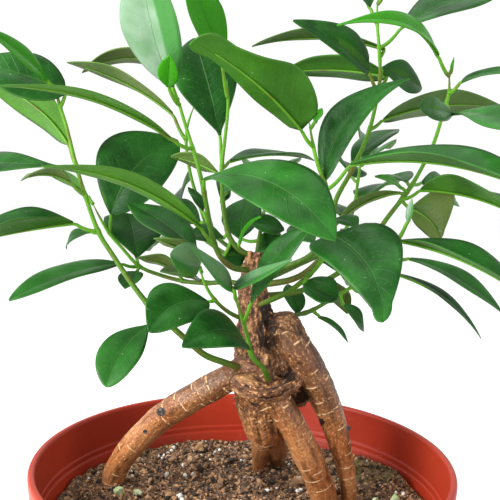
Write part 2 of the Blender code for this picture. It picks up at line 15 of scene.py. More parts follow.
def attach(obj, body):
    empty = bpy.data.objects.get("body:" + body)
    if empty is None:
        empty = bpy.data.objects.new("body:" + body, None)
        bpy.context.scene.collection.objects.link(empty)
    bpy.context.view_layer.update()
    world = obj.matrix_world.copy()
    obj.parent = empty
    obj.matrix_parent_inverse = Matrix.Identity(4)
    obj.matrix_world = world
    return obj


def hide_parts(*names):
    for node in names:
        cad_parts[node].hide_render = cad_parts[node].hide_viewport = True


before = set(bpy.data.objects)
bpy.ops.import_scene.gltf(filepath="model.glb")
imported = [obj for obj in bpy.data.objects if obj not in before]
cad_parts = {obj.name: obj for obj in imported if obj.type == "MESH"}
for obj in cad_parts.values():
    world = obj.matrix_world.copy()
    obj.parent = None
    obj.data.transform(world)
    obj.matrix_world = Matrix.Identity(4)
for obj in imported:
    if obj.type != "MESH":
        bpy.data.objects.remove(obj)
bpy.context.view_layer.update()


# The camera stands a little above the leaves and looks slightly down. Every root, stem and leaf below is set
# out as it is seen from here: across and down in the picture, and how far behind the pot's axis.
MM = 0.001
POT_HEIGHT = 0.120
VIEW_FRAME = 500
VIEW_FOCUS = 750
VIEW_EYE = Vector((0.0008, -0.2651, POT_HEIGHT + 0.1048))
VIEW_DOWN = math.radians(6.26)
VIEW_ROLL = math.radians(1.29)
VIEW_TURN = Matrix.Rotation(math.pi / 2 - VIEW_DOWN, 3, "X") @ Matrix.Rotation(VIEW_ROLL, 3, "Z")
SENSOR = 36
NEAREST_VIEW = 0.01


def placed(name, data):
    """A new object in the scene that holds the data."""
    made = bpy.data.objects.new(name, data)
    bpy.context.scene.collection.objects.link(made)
    return made


camera = placed("camera", bpy.data.cameras.new("camera"))
camera.data.sensor_width = SENSOR
camera.data.lens = SENSOR * VIEW_FOCUS / VIEW_FRAME
camera.data.clip_start = NEAREST_VIEW
camera.matrix_world = Matrix.Translation(VIEW_EYE) @ VIEW_TURN.to_4x4()
bpy.context.scene.camera = camera
bpy.context.scene.view_settings.view_transform = "Standard"


def seen(across, down, behind):
    """The point that the camera sees at across and down, behind millimetres behind the pot's axis."""
    middle = VIEW_FRAME / 2
    ray = VIEW_TURN @ Vector((across - middle, middle - down, -VIEW_FOCUS))
    return VIEW_EYE + ray * ((behind * MM - VIEW_EYE.y) / ray.y)


# The nursery pot is thin polypropylene in a terracotta red, injection moulded in one piece with a wide collar,
# two stacking ledges inside it and five drain holes. Its gloss is soft, with scuffs and dried splashes of mix.
RIM_DIAMETER = 0.152
BASE_DIAMETER = 0.108
COLLAR_HEIGHT = 0.022
COLLAR_STEP = 0.0022
COLLAR_DRAFT = 0.0014
RIM_WALL = 0.0026
WALL = 0.0017
FLOOR = 0.0022
LEDGE_DROP = 0.017
LEDGE_WIDTH = 0.0012
LEDGE_SPACING = 0.0024
POT_SEGMENTS = 192
DRAIN_HOLES = 5
DRAIN_DIAMETER = 0.008
DRAIN_CIRCLE_RADIUS = 0.036
DRILL_SEGMENTS = 32
POT_ROUNDING = 0.00035
POT_CORNER = math.radians(20)
POT_EDGE = math.radians(35)
POT_RED = (0.30, 0.021, 0.006, 1)
POT_FADED = (0.35, 0.036, 0.013, 1)
POT_DUST = (0.36, 0.17, 0.10, 1)


def formed(name, bm):
    """A new object in the scene, made of the bmesh."""
    mesh = bpy.data.meshes.new(name)
    bm.to_mesh(mesh)
    bm.free()
    return placed(name, mesh)


def new_piece(name, bm, materials, replaced=()):
    """A new smooth piece that rides with the plant and may stand for solids of the frame."""
    piece = formed(name, bm)
    for material in materials:
        piece.data.materials.append(material)
    piece.data.shade_smooth()
    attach(piece, "root")
    if replaced:
        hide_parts(*replaced)
    return piece


def turned(profile, segments):
    """A bmesh turned round the Z axis from a profile that starts and ends on it."""
    bm = bmesh.new()
    verts = [bm.verts.new((radius, 0, height)) for radius, height in profile]
    for lower, upper in zip(verts, verts[1:]):
        bm.edges.new((lower, upper))
    bmesh.ops.spin(
        bm,
        geom=bm.verts[:] + bm.edges[:],
        cent=(0, 0, 0),
        axis=(0, 0, 1),
        angle=math.tau,
        steps=segments,
        use_merge=True,
    )
    bmesh.ops.remove_doubles(bm, verts=bm.verts, dist=MM / 100)
    bmesh.ops.recalc_face_normals(bm, faces=bm.faces)
    return bm


def settle(piece):
    """Applies the piece's modifiers to its mesh."""
    graph = bpy.context.evaluated_depsgraph_get()
    mesh = bpy.data.meshes.new_from_object(piece.evaluated_get(graph))
    piece.modifiers.clear()
    piece.data = mesh


class Flow:
    """A value on its way through a material: sums on it add Math nodes, and node() adds a node of any kind."""

    def __init__(self, socket):
        self.socket = socket

    def node(self, kind, inputs, settings=None, output=0):
        tree = self.socket.id_data
        made = tree.nodes.new(kind)
        for name, setting in (settings or {}).items():
            setattr(made, name, setting)
        for key, value in inputs.items():
            if isinstance(value, Flow):
                tree.links.new(value.socket, made.inputs[key])
            else:
                made.inputs[key].default_value = value
        return Flow(made.outputs[output])

    def sum(self, operation, first, second):
        return self.node("ShaderNodeMath", {0: first, 1: second}, {"operation": operation})

    def __add__(self, other):
        return self.sum("ADD", self, other)

    __radd__ = __add__

    def __sub__(self, other):
        return self.sum("SUBTRACT", self, other)

    def __rsub__(self, other):
        return self.sum("SUBTRACT", other, self)

    def __mul__(self, other):
        return self.sum("MULTIPLY", self, other)

    __rmul__ = __mul__


def new_finish(name):
    """A new material, its shader, and a place on the piece in millimetres."""
    material = bpy.data.materials.new(name)
    material.use_nodes = True
    shader = material.node_tree.nodes["Principled BSDF"]
    place = Flow(material.node_tree.nodes.new("ShaderNodeTexCoord").outputs["Object"])
    return material, shader, stretched(place, (1 / MM, 1 / MM, 1 / MM))


def stretched(place, scale):
    """The place with each of its axes scaled."""
    return place.node("ShaderNodeVectorMath", {0: place, 1: scale}, {"operation": "MULTIPLY"})


def clouds(place, size, detail=3):
    """Soft noise from 0 to 1, whose features are this many millimetres wide."""
    return place.node("ShaderNodeTexNoise", {"Vector": place, "Scale": 1 / size, "Detail": detail})


def cells(place, size, output="Distance"):
    """Round cells, this many millimetres apart."""
    return place.node("ShaderNodeTexVoronoi", {"Vector": place, "Scale": 1 / size}, output=output)


def ramp(value, low, high, start=0.0, end=1.0):
    """A smooth step from start to end, as the value goes from low to high."""
    inputs = {"Value": value, "From Min": low, "From Max": high, "To Min": start, "To Max": end}
    return value.node("ShaderNodeMapRange", inputs, {"interpolation_type": "SMOOTHSTEP"})


def tinted(factor, first, second):
    """A colour between two others."""
    return factor.node("ShaderNodeMix", {0: factor, 6: first, 7: second}, {"data_type": "RGBA"}, 2)


def painted(colour, *coats):
    """The colour with coats of others over it, each given as its strength and its colour."""
    for strength, coat in coats:
        colour = tinted(strength, colour, coat)
    return colour


def axes(place):
    """The three numbers of a place."""
    return [place.node("ShaderNodeSeparateXYZ", {0: place}, output=axis) for axis in range(3)]


def dress(shader, colour, roughness, height=None, shine=0.5):
    """Gives the shader its colour, roughness and shine, and a relief whose height is in millimetres."""
    links = shader.id_data.links
    links.new(colour.socket, shader.inputs["Base Color"])
    links.new(roughness.socket, shader.inputs["Roughness"])
    shader.inputs["Specular IOR Level"].default_value = shine
    if height is not None:
        bump = height.node("ShaderNodeBump", {"Height": height, "Distance": MM})
        links.new(bump.socket, shader.inputs["Normal"])


def inner_radius(height):
    """The pot's inside radius below its ledges, which tapers as the outside does."""
    top = RIM_DIAMETER / 2 - COLLAR_DRAFT - COLLAR_STEP - WALL
    bottom = BASE_DIAMETER / 2 - WALL
    return bottom + (top - bottom) * height / (POT_HEIGHT - COLLAR_HEIGHT)


rim = RIM_DIAMETER / 2
collar_foot = POT_HEIGHT - COLLAR_HEIGHT
ledge = POT_HEIGHT - LEDGE_DROP
ledge_radius = inner_radius(ledge)
upper_ledge = ledge + LEDGE_SPACING

pot_finish, shader, place = new_finish("pot_plastic")
_, _, height = axes(place)
fading = 0.6 * ramp(clouds(place, 45), 0.3, 0.75)
scuffs = ramp(clouds(stretched(place, (1, 1, 0.12)), 1.1, 5), 0.62, 0.75)
wall_dust = ramp(height, ledge / MM - 8, ledge / MM + 4)
splashes = ramp(cells(place, 2.6), 0.16, 0.08) * ramp(clouds(place, 9), 0.50, 0.60) * wall_dust
colour = painted(tinted(fading, POT_RED, POT_FADED), (scuffs * 0.22, POT_FADED), (splashes * 0.55, POT_DUST))
gloss = 0.36 + 0.14 * clouds(place, 9) + 0.18 * scuffs + 0.25 * splashes
relief = 0.05 * clouds(place, 2.2) + 0.10 * clouds(stretched(place, (1, 1, 0.3)), 12)
dress(shader, colour, gloss, relief, 0.24)

pot_profile = (
    (0, 0),
    (BASE_DIAMETER / 2 - MM, 0),
    (BASE_DIAMETER / 2, MM),
    (rim - COLLAR_DRAFT - COLLAR_STEP, collar_foot),
    (rim - COLLAR_DRAFT, collar_foot + MM / 2),
    (rim, POT_HEIGHT - MM),
    (rim - MM / 2, POT_HEIGHT),
    (rim - RIM_WALL + MM / 2, POT_HEIGHT),
    (rim - RIM_WALL, POT_HEIGHT - MM),
    (ledge_radius + LEDGE_WIDTH, upper_ledge + MM / 2),
    (ledge_radius + LEDGE_WIDTH / 2, upper_ledge),
    (ledge_radius + LEDGE_WIDTH / 2, ledge + MM / 2),
    (ledge_radius, ledge),
    (inner_radius(FLOOR), FLOOR),
    (0, FLOOR),
)
bm = turned(pot_profile, POT_SEGMENTS)
corners = [edge for edge in bm.edges if edge.calc_face_angle(0) > POT_CORNER]
bmesh.ops.bevel(
    bm,
    geom=corners,
    offset=POT_ROUNDING,
    affect="EDGES",
    segments=3,
    profile=0.5,
    material=-1,
    clamp_overlap=True,
)
pot = new_piece("pot_moulding", bm, [pot_finish], ["pot"])
for index in range(DRAIN_HOLES):
    angle = math.tau * index / DRAIN_HOLES
    spot = (DRAIN_CIRCLE_RADIUS * math.cos(angle), DRAIN_CIRCLE_RADIUS * math.sin(angle), FLOOR / 2)
    bm = bmesh.new()
    bmesh.ops.create_cone(
        bm,
        cap_ends=True,
        segments=DRILL_SEGMENTS,
        radius1=DRAIN_DIAMETER / 2,
        radius2=DRAIN_DIAMETER / 2,
        depth=FLOOR * 3,
        matrix=Matrix.Translation(spot),
    )
    drill = formed("drain_drill", bm)
    cut = pot.modifiers.new("drain", "BOOLEAN")
    cut.operation = "DIFFERENCE"
    cut.object = drill
    settle(pot)
    bpy.data.objects.remove(drill)
pot.data.set_sharp_from_angle(angle=POT_EDGE)


# The potting mix is dark peat with bark crumbs, coir fibres and white perlite, filled to just under the ledges
# and heaped a little against the right wall. The crumbs lie loose on a lumpy bed.
SOIL_LEVEL = POT_HEIGHT - 0.020
SOIL_RINGS = 64
SOIL_SEGMENTS = 220
SOIL_ROUGHNESS = 0.0022
SOIL_GRAIN = 70
CRUMB_ROUGHNESS = 0.0011
CRUMB_GRAIN = 260
GRIT_ROUGHNESS = 0.0004
GRIT_GRAIN = 1400
HEAP_PLACE = Vector((0.052, 0.030))
HEAP_SPREAD = 0.016
HEAP_HEIGHT = 0.0035
CLEARANCE = 0.0003
PEAT = (0.032, 0.018, 0.010, 1)
PEAT_DRY = (0.225, 0.120, 0.062, 1)
BARK_CRUMB = (0.52, 0.285, 0.130, 1)
BARK_CRUMB_WORN = (0.50, 0.31, 0.17, 1)
PERLITE = (0.74, 0.72, 0.66, 1)
PERLITE_STAIN = (0.33, 0.24, 0.16, 1)
PERLITE_PORE = (0.30, 0.27, 0.22, 1)
ALGAE = (0.30, 0.42, 0.16, 1)
ALGAE_PALE = (0.52, 0.56, 0.38, 1)
MOSS = (0.095, 0.115, 0.022, 1)


def soil_height(place):
    """The lumpy top of the potting mix."""
    lumps = noise.noise(Vector((place.x, place.y, 0)) * SOIL_GRAIN)
    heap = math.exp(-(((place.xy - HEAP_PLACE).length / HEAP_SPREAD) ** 2))
    return SOIL_LEVEL + SOIL_ROUGHNESS * lumps + HEAP_HEIGHT * heap


def crumbled(place):
    """The bed's top with its crumbs and small hollows."""
    crumbs = noise.fractal(Vector(place) * CRUMB_GRAIN, 0.8, 2.1, 3)
    grit = noise.noise(Vector(place) * GRIT_GRAIN)
    return soil_height(place) + CRUMB_ROUGHNESS * crumbs + GRIT_ROUGHNESS * grit


def mossy(place, colour):
    """The colour with the green film that has grown where the mix is heaped at the wall."""
    across, behind, _ = axes(place)
    across = across - HEAP_PLACE.x / MM
    behind = behind - HEAP_PLACE.y / MM
    film = ramp(across * across + behind * behind, 170, 40) * ramp(clouds(place, 2.5, 3), 0.40, 0.58)
    return tinted(film * 0.7, colour, MOSS)


mix_finish, shader, place = new_finish("potting_mix")
grain = cells(place, 0.9, "Color")
shade, tone, _ = axes(grain)
perlite = ramp(cells(place, 1.7), 0.13, 0.09) * ramp(clouds(place, 5), 0.45, 0.6)
colour = painted(tinted(shade, PEAT, PEAT_DRY), (ramp(tone, 0.80, 0.86), BARK_CRUMB), (perlite, PERLITE))
relief = 0.5 * cells(place, 0.9) + 0.5 * clouds(place, 0.7, 4)
dress(shader, mossy(place, colour), ramp(clouds(place, 4), 0.3, 0.7, 0.75, 0.98), relief)

crumb_finish, shader, place = new_finish("bark_crumbs")
shade, tone, _ = axes(cells(place, 2.4, "Color"))
fibre = clouds(stretched(place, (1, 3, 2)), 0.8, 4)
colour = painted(
    tinted(shade, PEAT_DRY, BARK_CRUMB),
    (ramp(tone, 0.45, 0.35), PEAT),
    (ramp(tone, 0.80, 0.9), BARK_CRUMB_WORN),
    (fibre * 0.6, PEAT),
)
dress(shader, mossy(place, colour), ramp(fibre, 0.2, 0.8, 0.7, 0.95), 0.25 * fibre)

perlite_finish, shader, place = new_finish("perlite")
pores = ramp(cells(place, 0.5), 0.30, 0.08)
stain = ramp(clouds(place, 3.0), 0.45, 0.75)
colour = painted(PERLITE, (stain * 0.45, PERLITE_STAIN), (pores * 0.4, PERLITE_PORE))
dress(shader, colour, 0.8 + 0.15 * stain, -0.2 * pores)

algae_finish, shader, place = new_finish("green_lumps")
patch = ramp(clouds(place, 1.6, 4), 0.35, 0.65)
dress(shader, tinted(patch, ALGAE, ALGAE_PALE), 0.55 + 0.2 * patch, 0.3 * patch)

soil_floor = FLOOR + CLEARANCE
soil_top = inner_radius(SOIL_LEVEL - 2 * SOIL_ROUGHNESS) - CLEARANCE
soil_profile = [(0, soil_floor), (inner_radius(soil_floor) - CLEARANCE, soil_floor)]
soil_profile.append((soil_top, SOIL_LEVEL - 2 * SOIL_ROUGHNESS))
soil_profile += [((soil_top - CLEARANCE) * (1 - ring / SOIL_RINGS), SOIL_LEVEL) for ring in range(SOIL_RINGS)]
soil_profile.append((0, SOIL_LEVEL))
bm = turned(soil_profile, SOIL_SEGMENTS)
for vert in bm.verts:
    if vert.co.z > SOIL_LEVEL - SOIL_ROUGHNESS:
        vert.co.z = crumbled(vert.co)
new_piece("potting_mix_bed", bm, [mix_finish], ["potting_mix"])


def frames(route):
    """For each point of a route: the point, the radius there, and the directions along it and to two sides."""
    stations = []
    side = None
    for index, point in enumerate(route):
        along = (route[min(index + 1, len(route) - 1)] - route[max(index - 1, 0)]).xyz.normalized()
        if side is None:
            side = along.orthogonal()
        side = (side - along * side.dot(along)).normalized()
        stations.append((point.xyz, point.w, along, side, along.cross(side)))
    return stations


def sweep(bm, route, sides):
    """A closed round skin about a route of points, whose fourth number is the radius."""
    rings = []
    for point, radius, _, side, other in frames(route):
        ring = []
        for corner in range(sides):
            angle = math.tau * corner / sides
            ring.append(bm.verts.new(point + (side * math.cos(angle) + other * math.sin(angle)) * radius))
        rings.append(ring)
    for lower, upper in zip(rings, rings[1:]):
        for corner in range(sides):
            following = (corner + 1) % sides
            bm.faces.new((lower[corner], lower[following], upper[following], upper[corner]))
    bm.faces.new(rings[0][::-1])
    bm.faces.new(rings[-1])
    return rings


CRUMB_RAGGEDNESS = 0.36
CLUSTER_GRAIN = 90
# Vector noise starts from the clock unless it is given a seed.
RAGGEDNESS_SEED = 1
noise.seed_set(RAGGEDNESS_SEED)


def spot_on_bed(chance, margin):
    """A random place on the bed, this far from the pot's wall."""
    reach = (soil_top - margin) * math.sqrt(chance.random())
    angle = chance.uniform(0, math.tau)
    return Vector((reach * math.cos(angle), reach * math.sin(angle), 0))


def scattered(name, count, sizes, squash, finish, seed, rounding=1, bareness=-1):
    """Loose lumps of the given sizes that lie on the bed, in clusters where the bareness is high."""
    chance = random.Random(seed)
    ball = bmesh.new()
    bmesh.ops.create_icosphere(ball, subdivisions=rounding, radius=0.5)
    corners = [vert.co.copy() for vert in ball.verts]
    sides = [[vert.index for vert in face.verts] for face in ball.faces]
    ball.free()
    bm = bmesh.new()
    for _ in range(count):
        size = chance.uniform(*sizes) * chance.uniform(0.6, 1)
        spot = spot_on_bed(chance, size)
        if noise.noise(spot * CLUSTER_GRAIN + Vector((seed, 0, 0))) < bareness:
            continue
        spot.z = crumbled(spot) + size * chance.uniform(0.0, 0.35)
        angle = chance.uniform(0, math.tau)
        turn = Matrix.Rotation(angle, 3, Vector((chance.random(), chance.random(), 0.5)))
        shape = turn @ Matrix.Diagonal((1, chance.uniform(0.6, 1), chance.uniform(*squash))) * size
        verts = []
        for corner in corners:
            place = spot + shape @ corner
            ragged = noise.noise_vector(place * 0.9 / size) * size * CRUMB_RAGGEDNESS
            verts.append(bm.verts.new(place + ragged))
        for side in sides:
            bm.faces.new([verts[corner] for corner in side])
    return new_piece(name, bm, [finish])


scattered("bark_crumbs", 2600, (0.0009, 0.0030), (0.4, 0.9), crumb_finish, seed=3)
scattered("peat_crumbs", 2600, (0.0008, 0.0026), (0.6, 1.0), mix_finish, seed=4)
scattered("bark_chips", 150, (0.003, 0.0065), (0.25, 0.5), crumb_finish, seed=5, rounding=2)
scattered("perlite", 620, (0.0010, 0.0030), (0.6, 1.0), perlite_finish, seed=7, bareness=0.12)

FIBRES = 130
FIBRE_SEED = 9
FIBRE_RADIUS = 0.00013
FIBRE_SIDES = 4
FIBRE_MARGIN = 0.006
FIBRE_POINTS = 9
FIBRE_STEP = 0.0011
FIBRE_LIFT = 0.0006
FIBRE_LOOP = 0.0007
bm = bmesh.new()
chance = random.Random(FIBRE_SEED)
for _ in range(FIBRES):
    spot = spot_on_bed(chance, FIBRE_MARGIN)
    heading = chance.uniform(0, math.tau)
    points = []
    for step in range(FIBRE_POINTS):
        height = crumbled(spot) + FIBRE_LIFT + FIBRE_LOOP * math.sin(step * 0.7)
        points.append(Vector((spot.x, spot.y, height, FIBRE_RADIUS)))
        heading += chance.uniform(-0.5, 0.5)
        spot += Vector((math.cos(heading), math.sin(heading), 0)) * FIBRE_STEP
    sweep(bm, points, FIBRE_SIDES)
new_piece("coir_fibres", bm, [crumb_finish])

# Lumps of algae, as the camera sees them: across, down, behind and width in millimetres.
GREEN_LUMPS = ((119, 482, 7, 3.4), (138, 493, 8, 3.2), (396, 485, 6, 3.2), (376, 492, 4, 2.6))
GREEN_LUMP_RISE = 0.002
GREEN_LUMP_GRAIN = 600
GREEN_LUMP_RAGGEDNESS = 0.30
bm = bmesh.new()
for across, down, behind, width in GREEN_LUMPS:
    spot = seen(across, down, behind)
    spot.z = min(spot.z, SOIL_LEVEL + GREEN_LUMP_RISE)
    size = width * MM
    middle = Matrix.Translation(spot)
    lump = bmesh.ops.create_icosphere(bm, subdivisions=3, radius=size / 2, matrix=middle)
    for vert in lump["verts"]:
        vert.co += noise.noise_vector(vert.co * GREEN_LUMP_GRAIN) * size * GREEN_LUMP_RAGGEDNESS
new_piece("green_lumps", bm, [algae_finish])


# The trunk and roots are one body of living wood: a stout twisted trunk, and roots swollen like legs. The trunk's
# bark is old, fibrous and cracked. The roots are smoother, with pale raised bars across them.

# Each point of a run: across, down and behind as the camera sees it, and its radius in millimetres.
ROOTS = {
    "trunk": (
        (256, 252, 2, 3.4), (254, 276, 1, 4.4), (254, 302, 0, 5.8), (257, 328, 0, 7.4), (259, 352, 1, 9.0),
        (260, 378, 2, 9.6), (262, 402, 3, 9.4), (265, 422, 6, 8.6), (268, 438, 10, 6.4),
    ),
    "knob": ((277, 326, -1, 4.6), (288, 326, -4, 5.0), (294, 340, -5, 5.4)),
    "shoulder": ((270, 330, 1, 6.0), (279, 346, 1, 6.4), (288, 364, 1, 6.2), (294, 382, 3, 5.4), (300, 400, 6, 4.6)),
    "heel": ((252, 398, 4, 6.6), (262, 418, 8, 6.8), (284, 412, 7, 5.4)),
    "left_leg": (
        (248, 366, -1, 4.6), (228, 378, -2, 4.9), (210, 388, 0, 5.2), (185, 402, 4, 5.2),
        (165, 415, 8, 5.1), (150, 428, 11, 5.0), (135, 443, 14, 4.9), (122, 459, 17, 4.6),
        (114, 475, 19, 4.5), (111, 495, 19, 4.4), (110, 520, 19, 4.0),
    ),
    "right_leg": (
        (286, 322, -3, 4.4), (291, 338, -5, 5.6), (303, 357, -5, 5.7), (314, 377, -3, 5.7),
        (323, 397, -1, 5.3), (332, 418, 1, 4.8), (339, 440, 3, 4.2), (344, 462, 5, 3.6), (348, 485, 7, 3.2),
        (349, 508, 8, 3.1), (350, 540, 8, 2.8),
    ),
    "middle_leg": (
        (268, 384, -5, 4.6), (281, 404, -6, 4.6), (292, 425, -5, 5.0), (303, 446, -3, 5.3),
        (313, 467, 0, 5.1), (321, 487, 3, 5.0), (327, 508, 5, 4.8), (331, 540, 6, 4.4),
    ),
    "back_leg_left": ((263, 425, 9, 5.0), (262, 445, 22, 4.2), (260, 465, 35, 3.2), (260, 492, 39, 3.0)),
    "back_leg_right": ((272, 428, 10, 5.0), (277, 446, 26, 4.2), (277, 460, 40, 3.5), (277, 486, 44, 3.2)),
    "band": (
        (234, 379, -3, 3.6), (248, 387, -8, 3.4), (266, 392, -9, 3.4), (286, 386, -8, 3.3),
        (301, 374, -4, 3.0),
    ),
}
ROOT_STEP = 0.0012
ROOT_SIDES = 28
ROOT_GRID = 0.00065
ROOT_EASE_STEPS = 9
# How cracked and fibrous the bark of a run is, from smooth at 0. The bark also grows smoother from the old
# height down to the young one.
BARK_AGE = {
    "trunk": 1.0,
    "knob": 0.75,
    "shoulder": 0.7,
    "heel": 0.6,
    "band": 0.8,
    "right_leg": 0.3,
    "middle_leg": 0.32,
}
YOUNG_BARK_AGE = 0.14
OLD_BARK_HEIGHT = 0.144
YOUNG_BARK_HEIGHT = 0.124
YOUNG_BARK_SHARE = 0.25
RUN_SPACING = 0.2
RUN_UNEVENNESS = 0.07
BLEND_REACH = 0.0010
BLEND_MARKS = 14
LUMP_HEIGHT = 0.00035
LUMP_GRAIN = 110
CRACK_HEIGHT = 0.00085
CRACK_GRAIN = Vector((70, 420, 420))
FLAKE_HEIGHT = 0.00055
FLAKE_GRAIN = 520
FINE_FLAKE_HEIGHT = 0.00006
SCAR_HEIGHT = 0.0003
HOLLOW_CRACKING = 1.1
BARK_MID = (0.360, 0.130, 0.040, 1)
BARK_LIGHT = (0.66, 0.350, 0.150, 1)
BARK_DARK = (0.050, 0.016, 0.005, 1)
BARK_BAR = (0.74, 0.46, 0.24, 1)
BARK_CRACK = (0.014, 0.005, 0.002, 1)
BARK_SCAR = (0.028, 0.026, 0.026, 1)
BARK_RED = (0.150, 0.038, 0.012, 1)
# Old scars and hollows, where the camera sees them: across, down, radius in millimetres and, of a hollow, its
# depth in millimetres.
SCARS = ((161, 412, 2.0), (145, 432, 1.0), (321, 422, 1.6), (351, 428, 1.7))
HOLLOWS = (
    (266, 308, 2.0, 1.0),
    (270, 324, 2.4, 1.7),
    (270, 342, 2.6, 2.0),
    (303, 400, 3.0, 1.6),
    (287, 374, 1.8, 0.8),
)
# A thin smooth strand has grown down the front of the trunk. A broken twig and a splinter stick out.
SLIVERS = {
    "strand": (
        (254, 296, -4.5, 0.7), (259, 306, -4.8, 0.8), (263, 324, -5.2, 0.8), (261, 338, -5.2, 0.8),
        (257, 348, -5, 0.7),
    ),
    "stub": ((342, 430, 3, 1.5), (346, 429, 2, 0.9), (350, 428, 2, 0.6), (353, 426, 2, 0.5)),
    "splinter": ((243, 399, -3, 1.4), (237, 397, -5, 0.8), (230, 399, -6, 0.5)),
}
Mark = namedtuple("Mark", "point radius along side other length age")


def smooth_route(points, step):
    """Points about a step apart on a smooth curve through the given ones."""
    ends = [points[0], *points, points[-1]]
    route = []
    for before, start, end, after in zip(ends, ends[1:], ends[2:], ends[3:]):
        count = max(1, round((end - start).length / step))
        for index in range(count):
            share = index / count
            bend = (end - before) * share
            bend += (before * 2 - start * 5 + end * 4 - after) * share**2
            bend += (start * 3 - before - end * 3 + after) * share**3
            route.append(start + bend / 2)
    route.append(points[-1])
    return route


bm = bmesh.new()
marks = []
for order, (name, run) in enumerate({**ROOTS, **SLIVERS}.items()):
    points = [Vector((*seen(*point[:3]), point[3] * MM)) for point in run]
    route = smooth_route(points, ROOT_STEP)
    length = order * RUN_SPACING
    for index, mark in enumerate(frames(route)):
        if index:
            length += (route[index] - route[index - 1]).xyz.length
        marks.append(Mark(*mark, length, BARK_AGE.get(name, YOUNG_BARK_AGE)))
    for index, point in enumerate(route):
        point.w *= 1 + RUN_UNEVENNESS * noise.noise(Vector((index * 0.09, order * 7.0, 0)))
    sweep(bm, route, ROOT_SIDES)
trunk = new_piece("trunk_bark", bm, [], ["trunk_and_roots"])
blend = trunk.modifiers.new("blend", "REMESH")
blend.mode = "VOXEL"
blend.voxel_size = ROOT_GRID
ease = trunk.modifiers.new("ease", "SMOOTH")
ease.factor = 0.5
ease.iterations = ROOT_EASE_STEPS
settle(trunk)

nearest = kdtree.KDTree(len(marks))
for index, mark in enumerate(marks):
    nearest.insert(mark.point, index)
nearest.balance()
unrolled_places = []
ages = []
crack_depths = []
scars = []
moved = []
scar_sights = [(seen(across, down, 0) - VIEW_EYE, size * MM) for across, down, size in SCARS]
hollow_sights = [(seen(*spot, 0) - VIEW_EYE, size * MM, depth * MM) for *spot, size, depth in HOLLOWS]
for toward, *_ in scar_sights + hollow_sights:
    toward.normalize()
for vert in trunk.data.vertices:
    least = math.inf
    total = 0
    age = 0
    for _, number, distance in nearest.find_n(vert.co, BLEND_MARKS):
        over = distance - marks[number].radius
        weight = math.exp(-over / BLEND_REACH)
        total += weight
        age += weight * marks[number].age
        if over < least:
            least = over
            mark = marks[number]
    smoothing = (vert.co.z - YOUNG_BARK_HEIGHT) / (OLD_BARK_HEIGHT - YOUNG_BARK_HEIGHT)
    age *= (YOUNG_BARK_SHARE + (1 - YOUNG_BARK_SHARE) * min(1, max(0, smoothing))) / total
    offset = vert.co - mark.point
    unrolled = Vector((mark.length + offset.dot(mark.along), offset.dot(mark.side), offset.dot(mark.other)))
    lumps = noise.noise(vert.co * LUMP_GRAIN)
    cracks = noise.fractal(unrolled * CRACK_GRAIN, 0.9, 2.0, 3)
    flakes = noise.fractal(vert.co * FLAKE_GRAIN, 0.8, 2.0, 2)
    rise = lumps * LUMP_HEIGHT + flakes * FINE_FLAKE_HEIGHT
    rise += age * (cracks * CRACK_HEIGHT + flakes * FLAKE_HEIGHT)
    sight = vert.co - VIEW_EYE
    scar = 0
    if sight.dot(vert.normal) < 0:
        for toward, size in scar_sights:
            scar += math.exp(-((sight.cross(toward).length / size) ** 4))
        for toward, size, depth in hollow_sights:
            sunk = math.exp(-((sight.cross(toward).length / size) ** 2))
            rise -= depth * sunk
            cracks -= HOLLOW_CRACKING * sunk
    moved.append(vert.co + vert.normal * (rise + scar * flakes * SCAR_HEIGHT))
    scars.append(scar)
    unrolled_places.extend(unrolled / MM)
    ages.append(age)
    crack_depths.append(cracks)
for vert, place in zip(trunk.data.vertices, moved):
    vert.co = place
trunk.data.attributes.new("unrolled", "FLOAT_VECTOR", "POINT").data.foreach_set("vector", unrolled_places)
for name, numbers in (("bark_age", ages), ("crack_depth", crack_depths), ("scar", scars)):
    trunk.data.attributes.new(name, "FLOAT", "POINT").data.foreach_set("value", numbers)


def carried(place, name, output="Fac"):
    """What the mesh of the piece carries under this name at each point."""
    return place.node("ShaderNodeAttribute", {}, {"attribute_name": name}, output)


bark_finish, shader, place = new_finish("bark")
unrolled = carried(place, "unrolled", "Vector")
age = carried(place, "bark_age")
depth = carried(place, "crack_depth")
scar = carried(place, "scar")
_, _, height = axes(place)
grain = clouds(stretched(unrolled, (0.25, 1, 1)), 1.1, 5)
speckle = clouds(unrolled, 0.8, 4)
fleck = clouds(stretched(unrolled, (0.55, 1, 1)), 1.0, 6)
patch = ramp(clouds(stretched(unrolled, (0.5, 1, 1)), 9, 3), 0.38, 0.66)
red = ramp(clouds(place, 14), 0.42, 0.62)
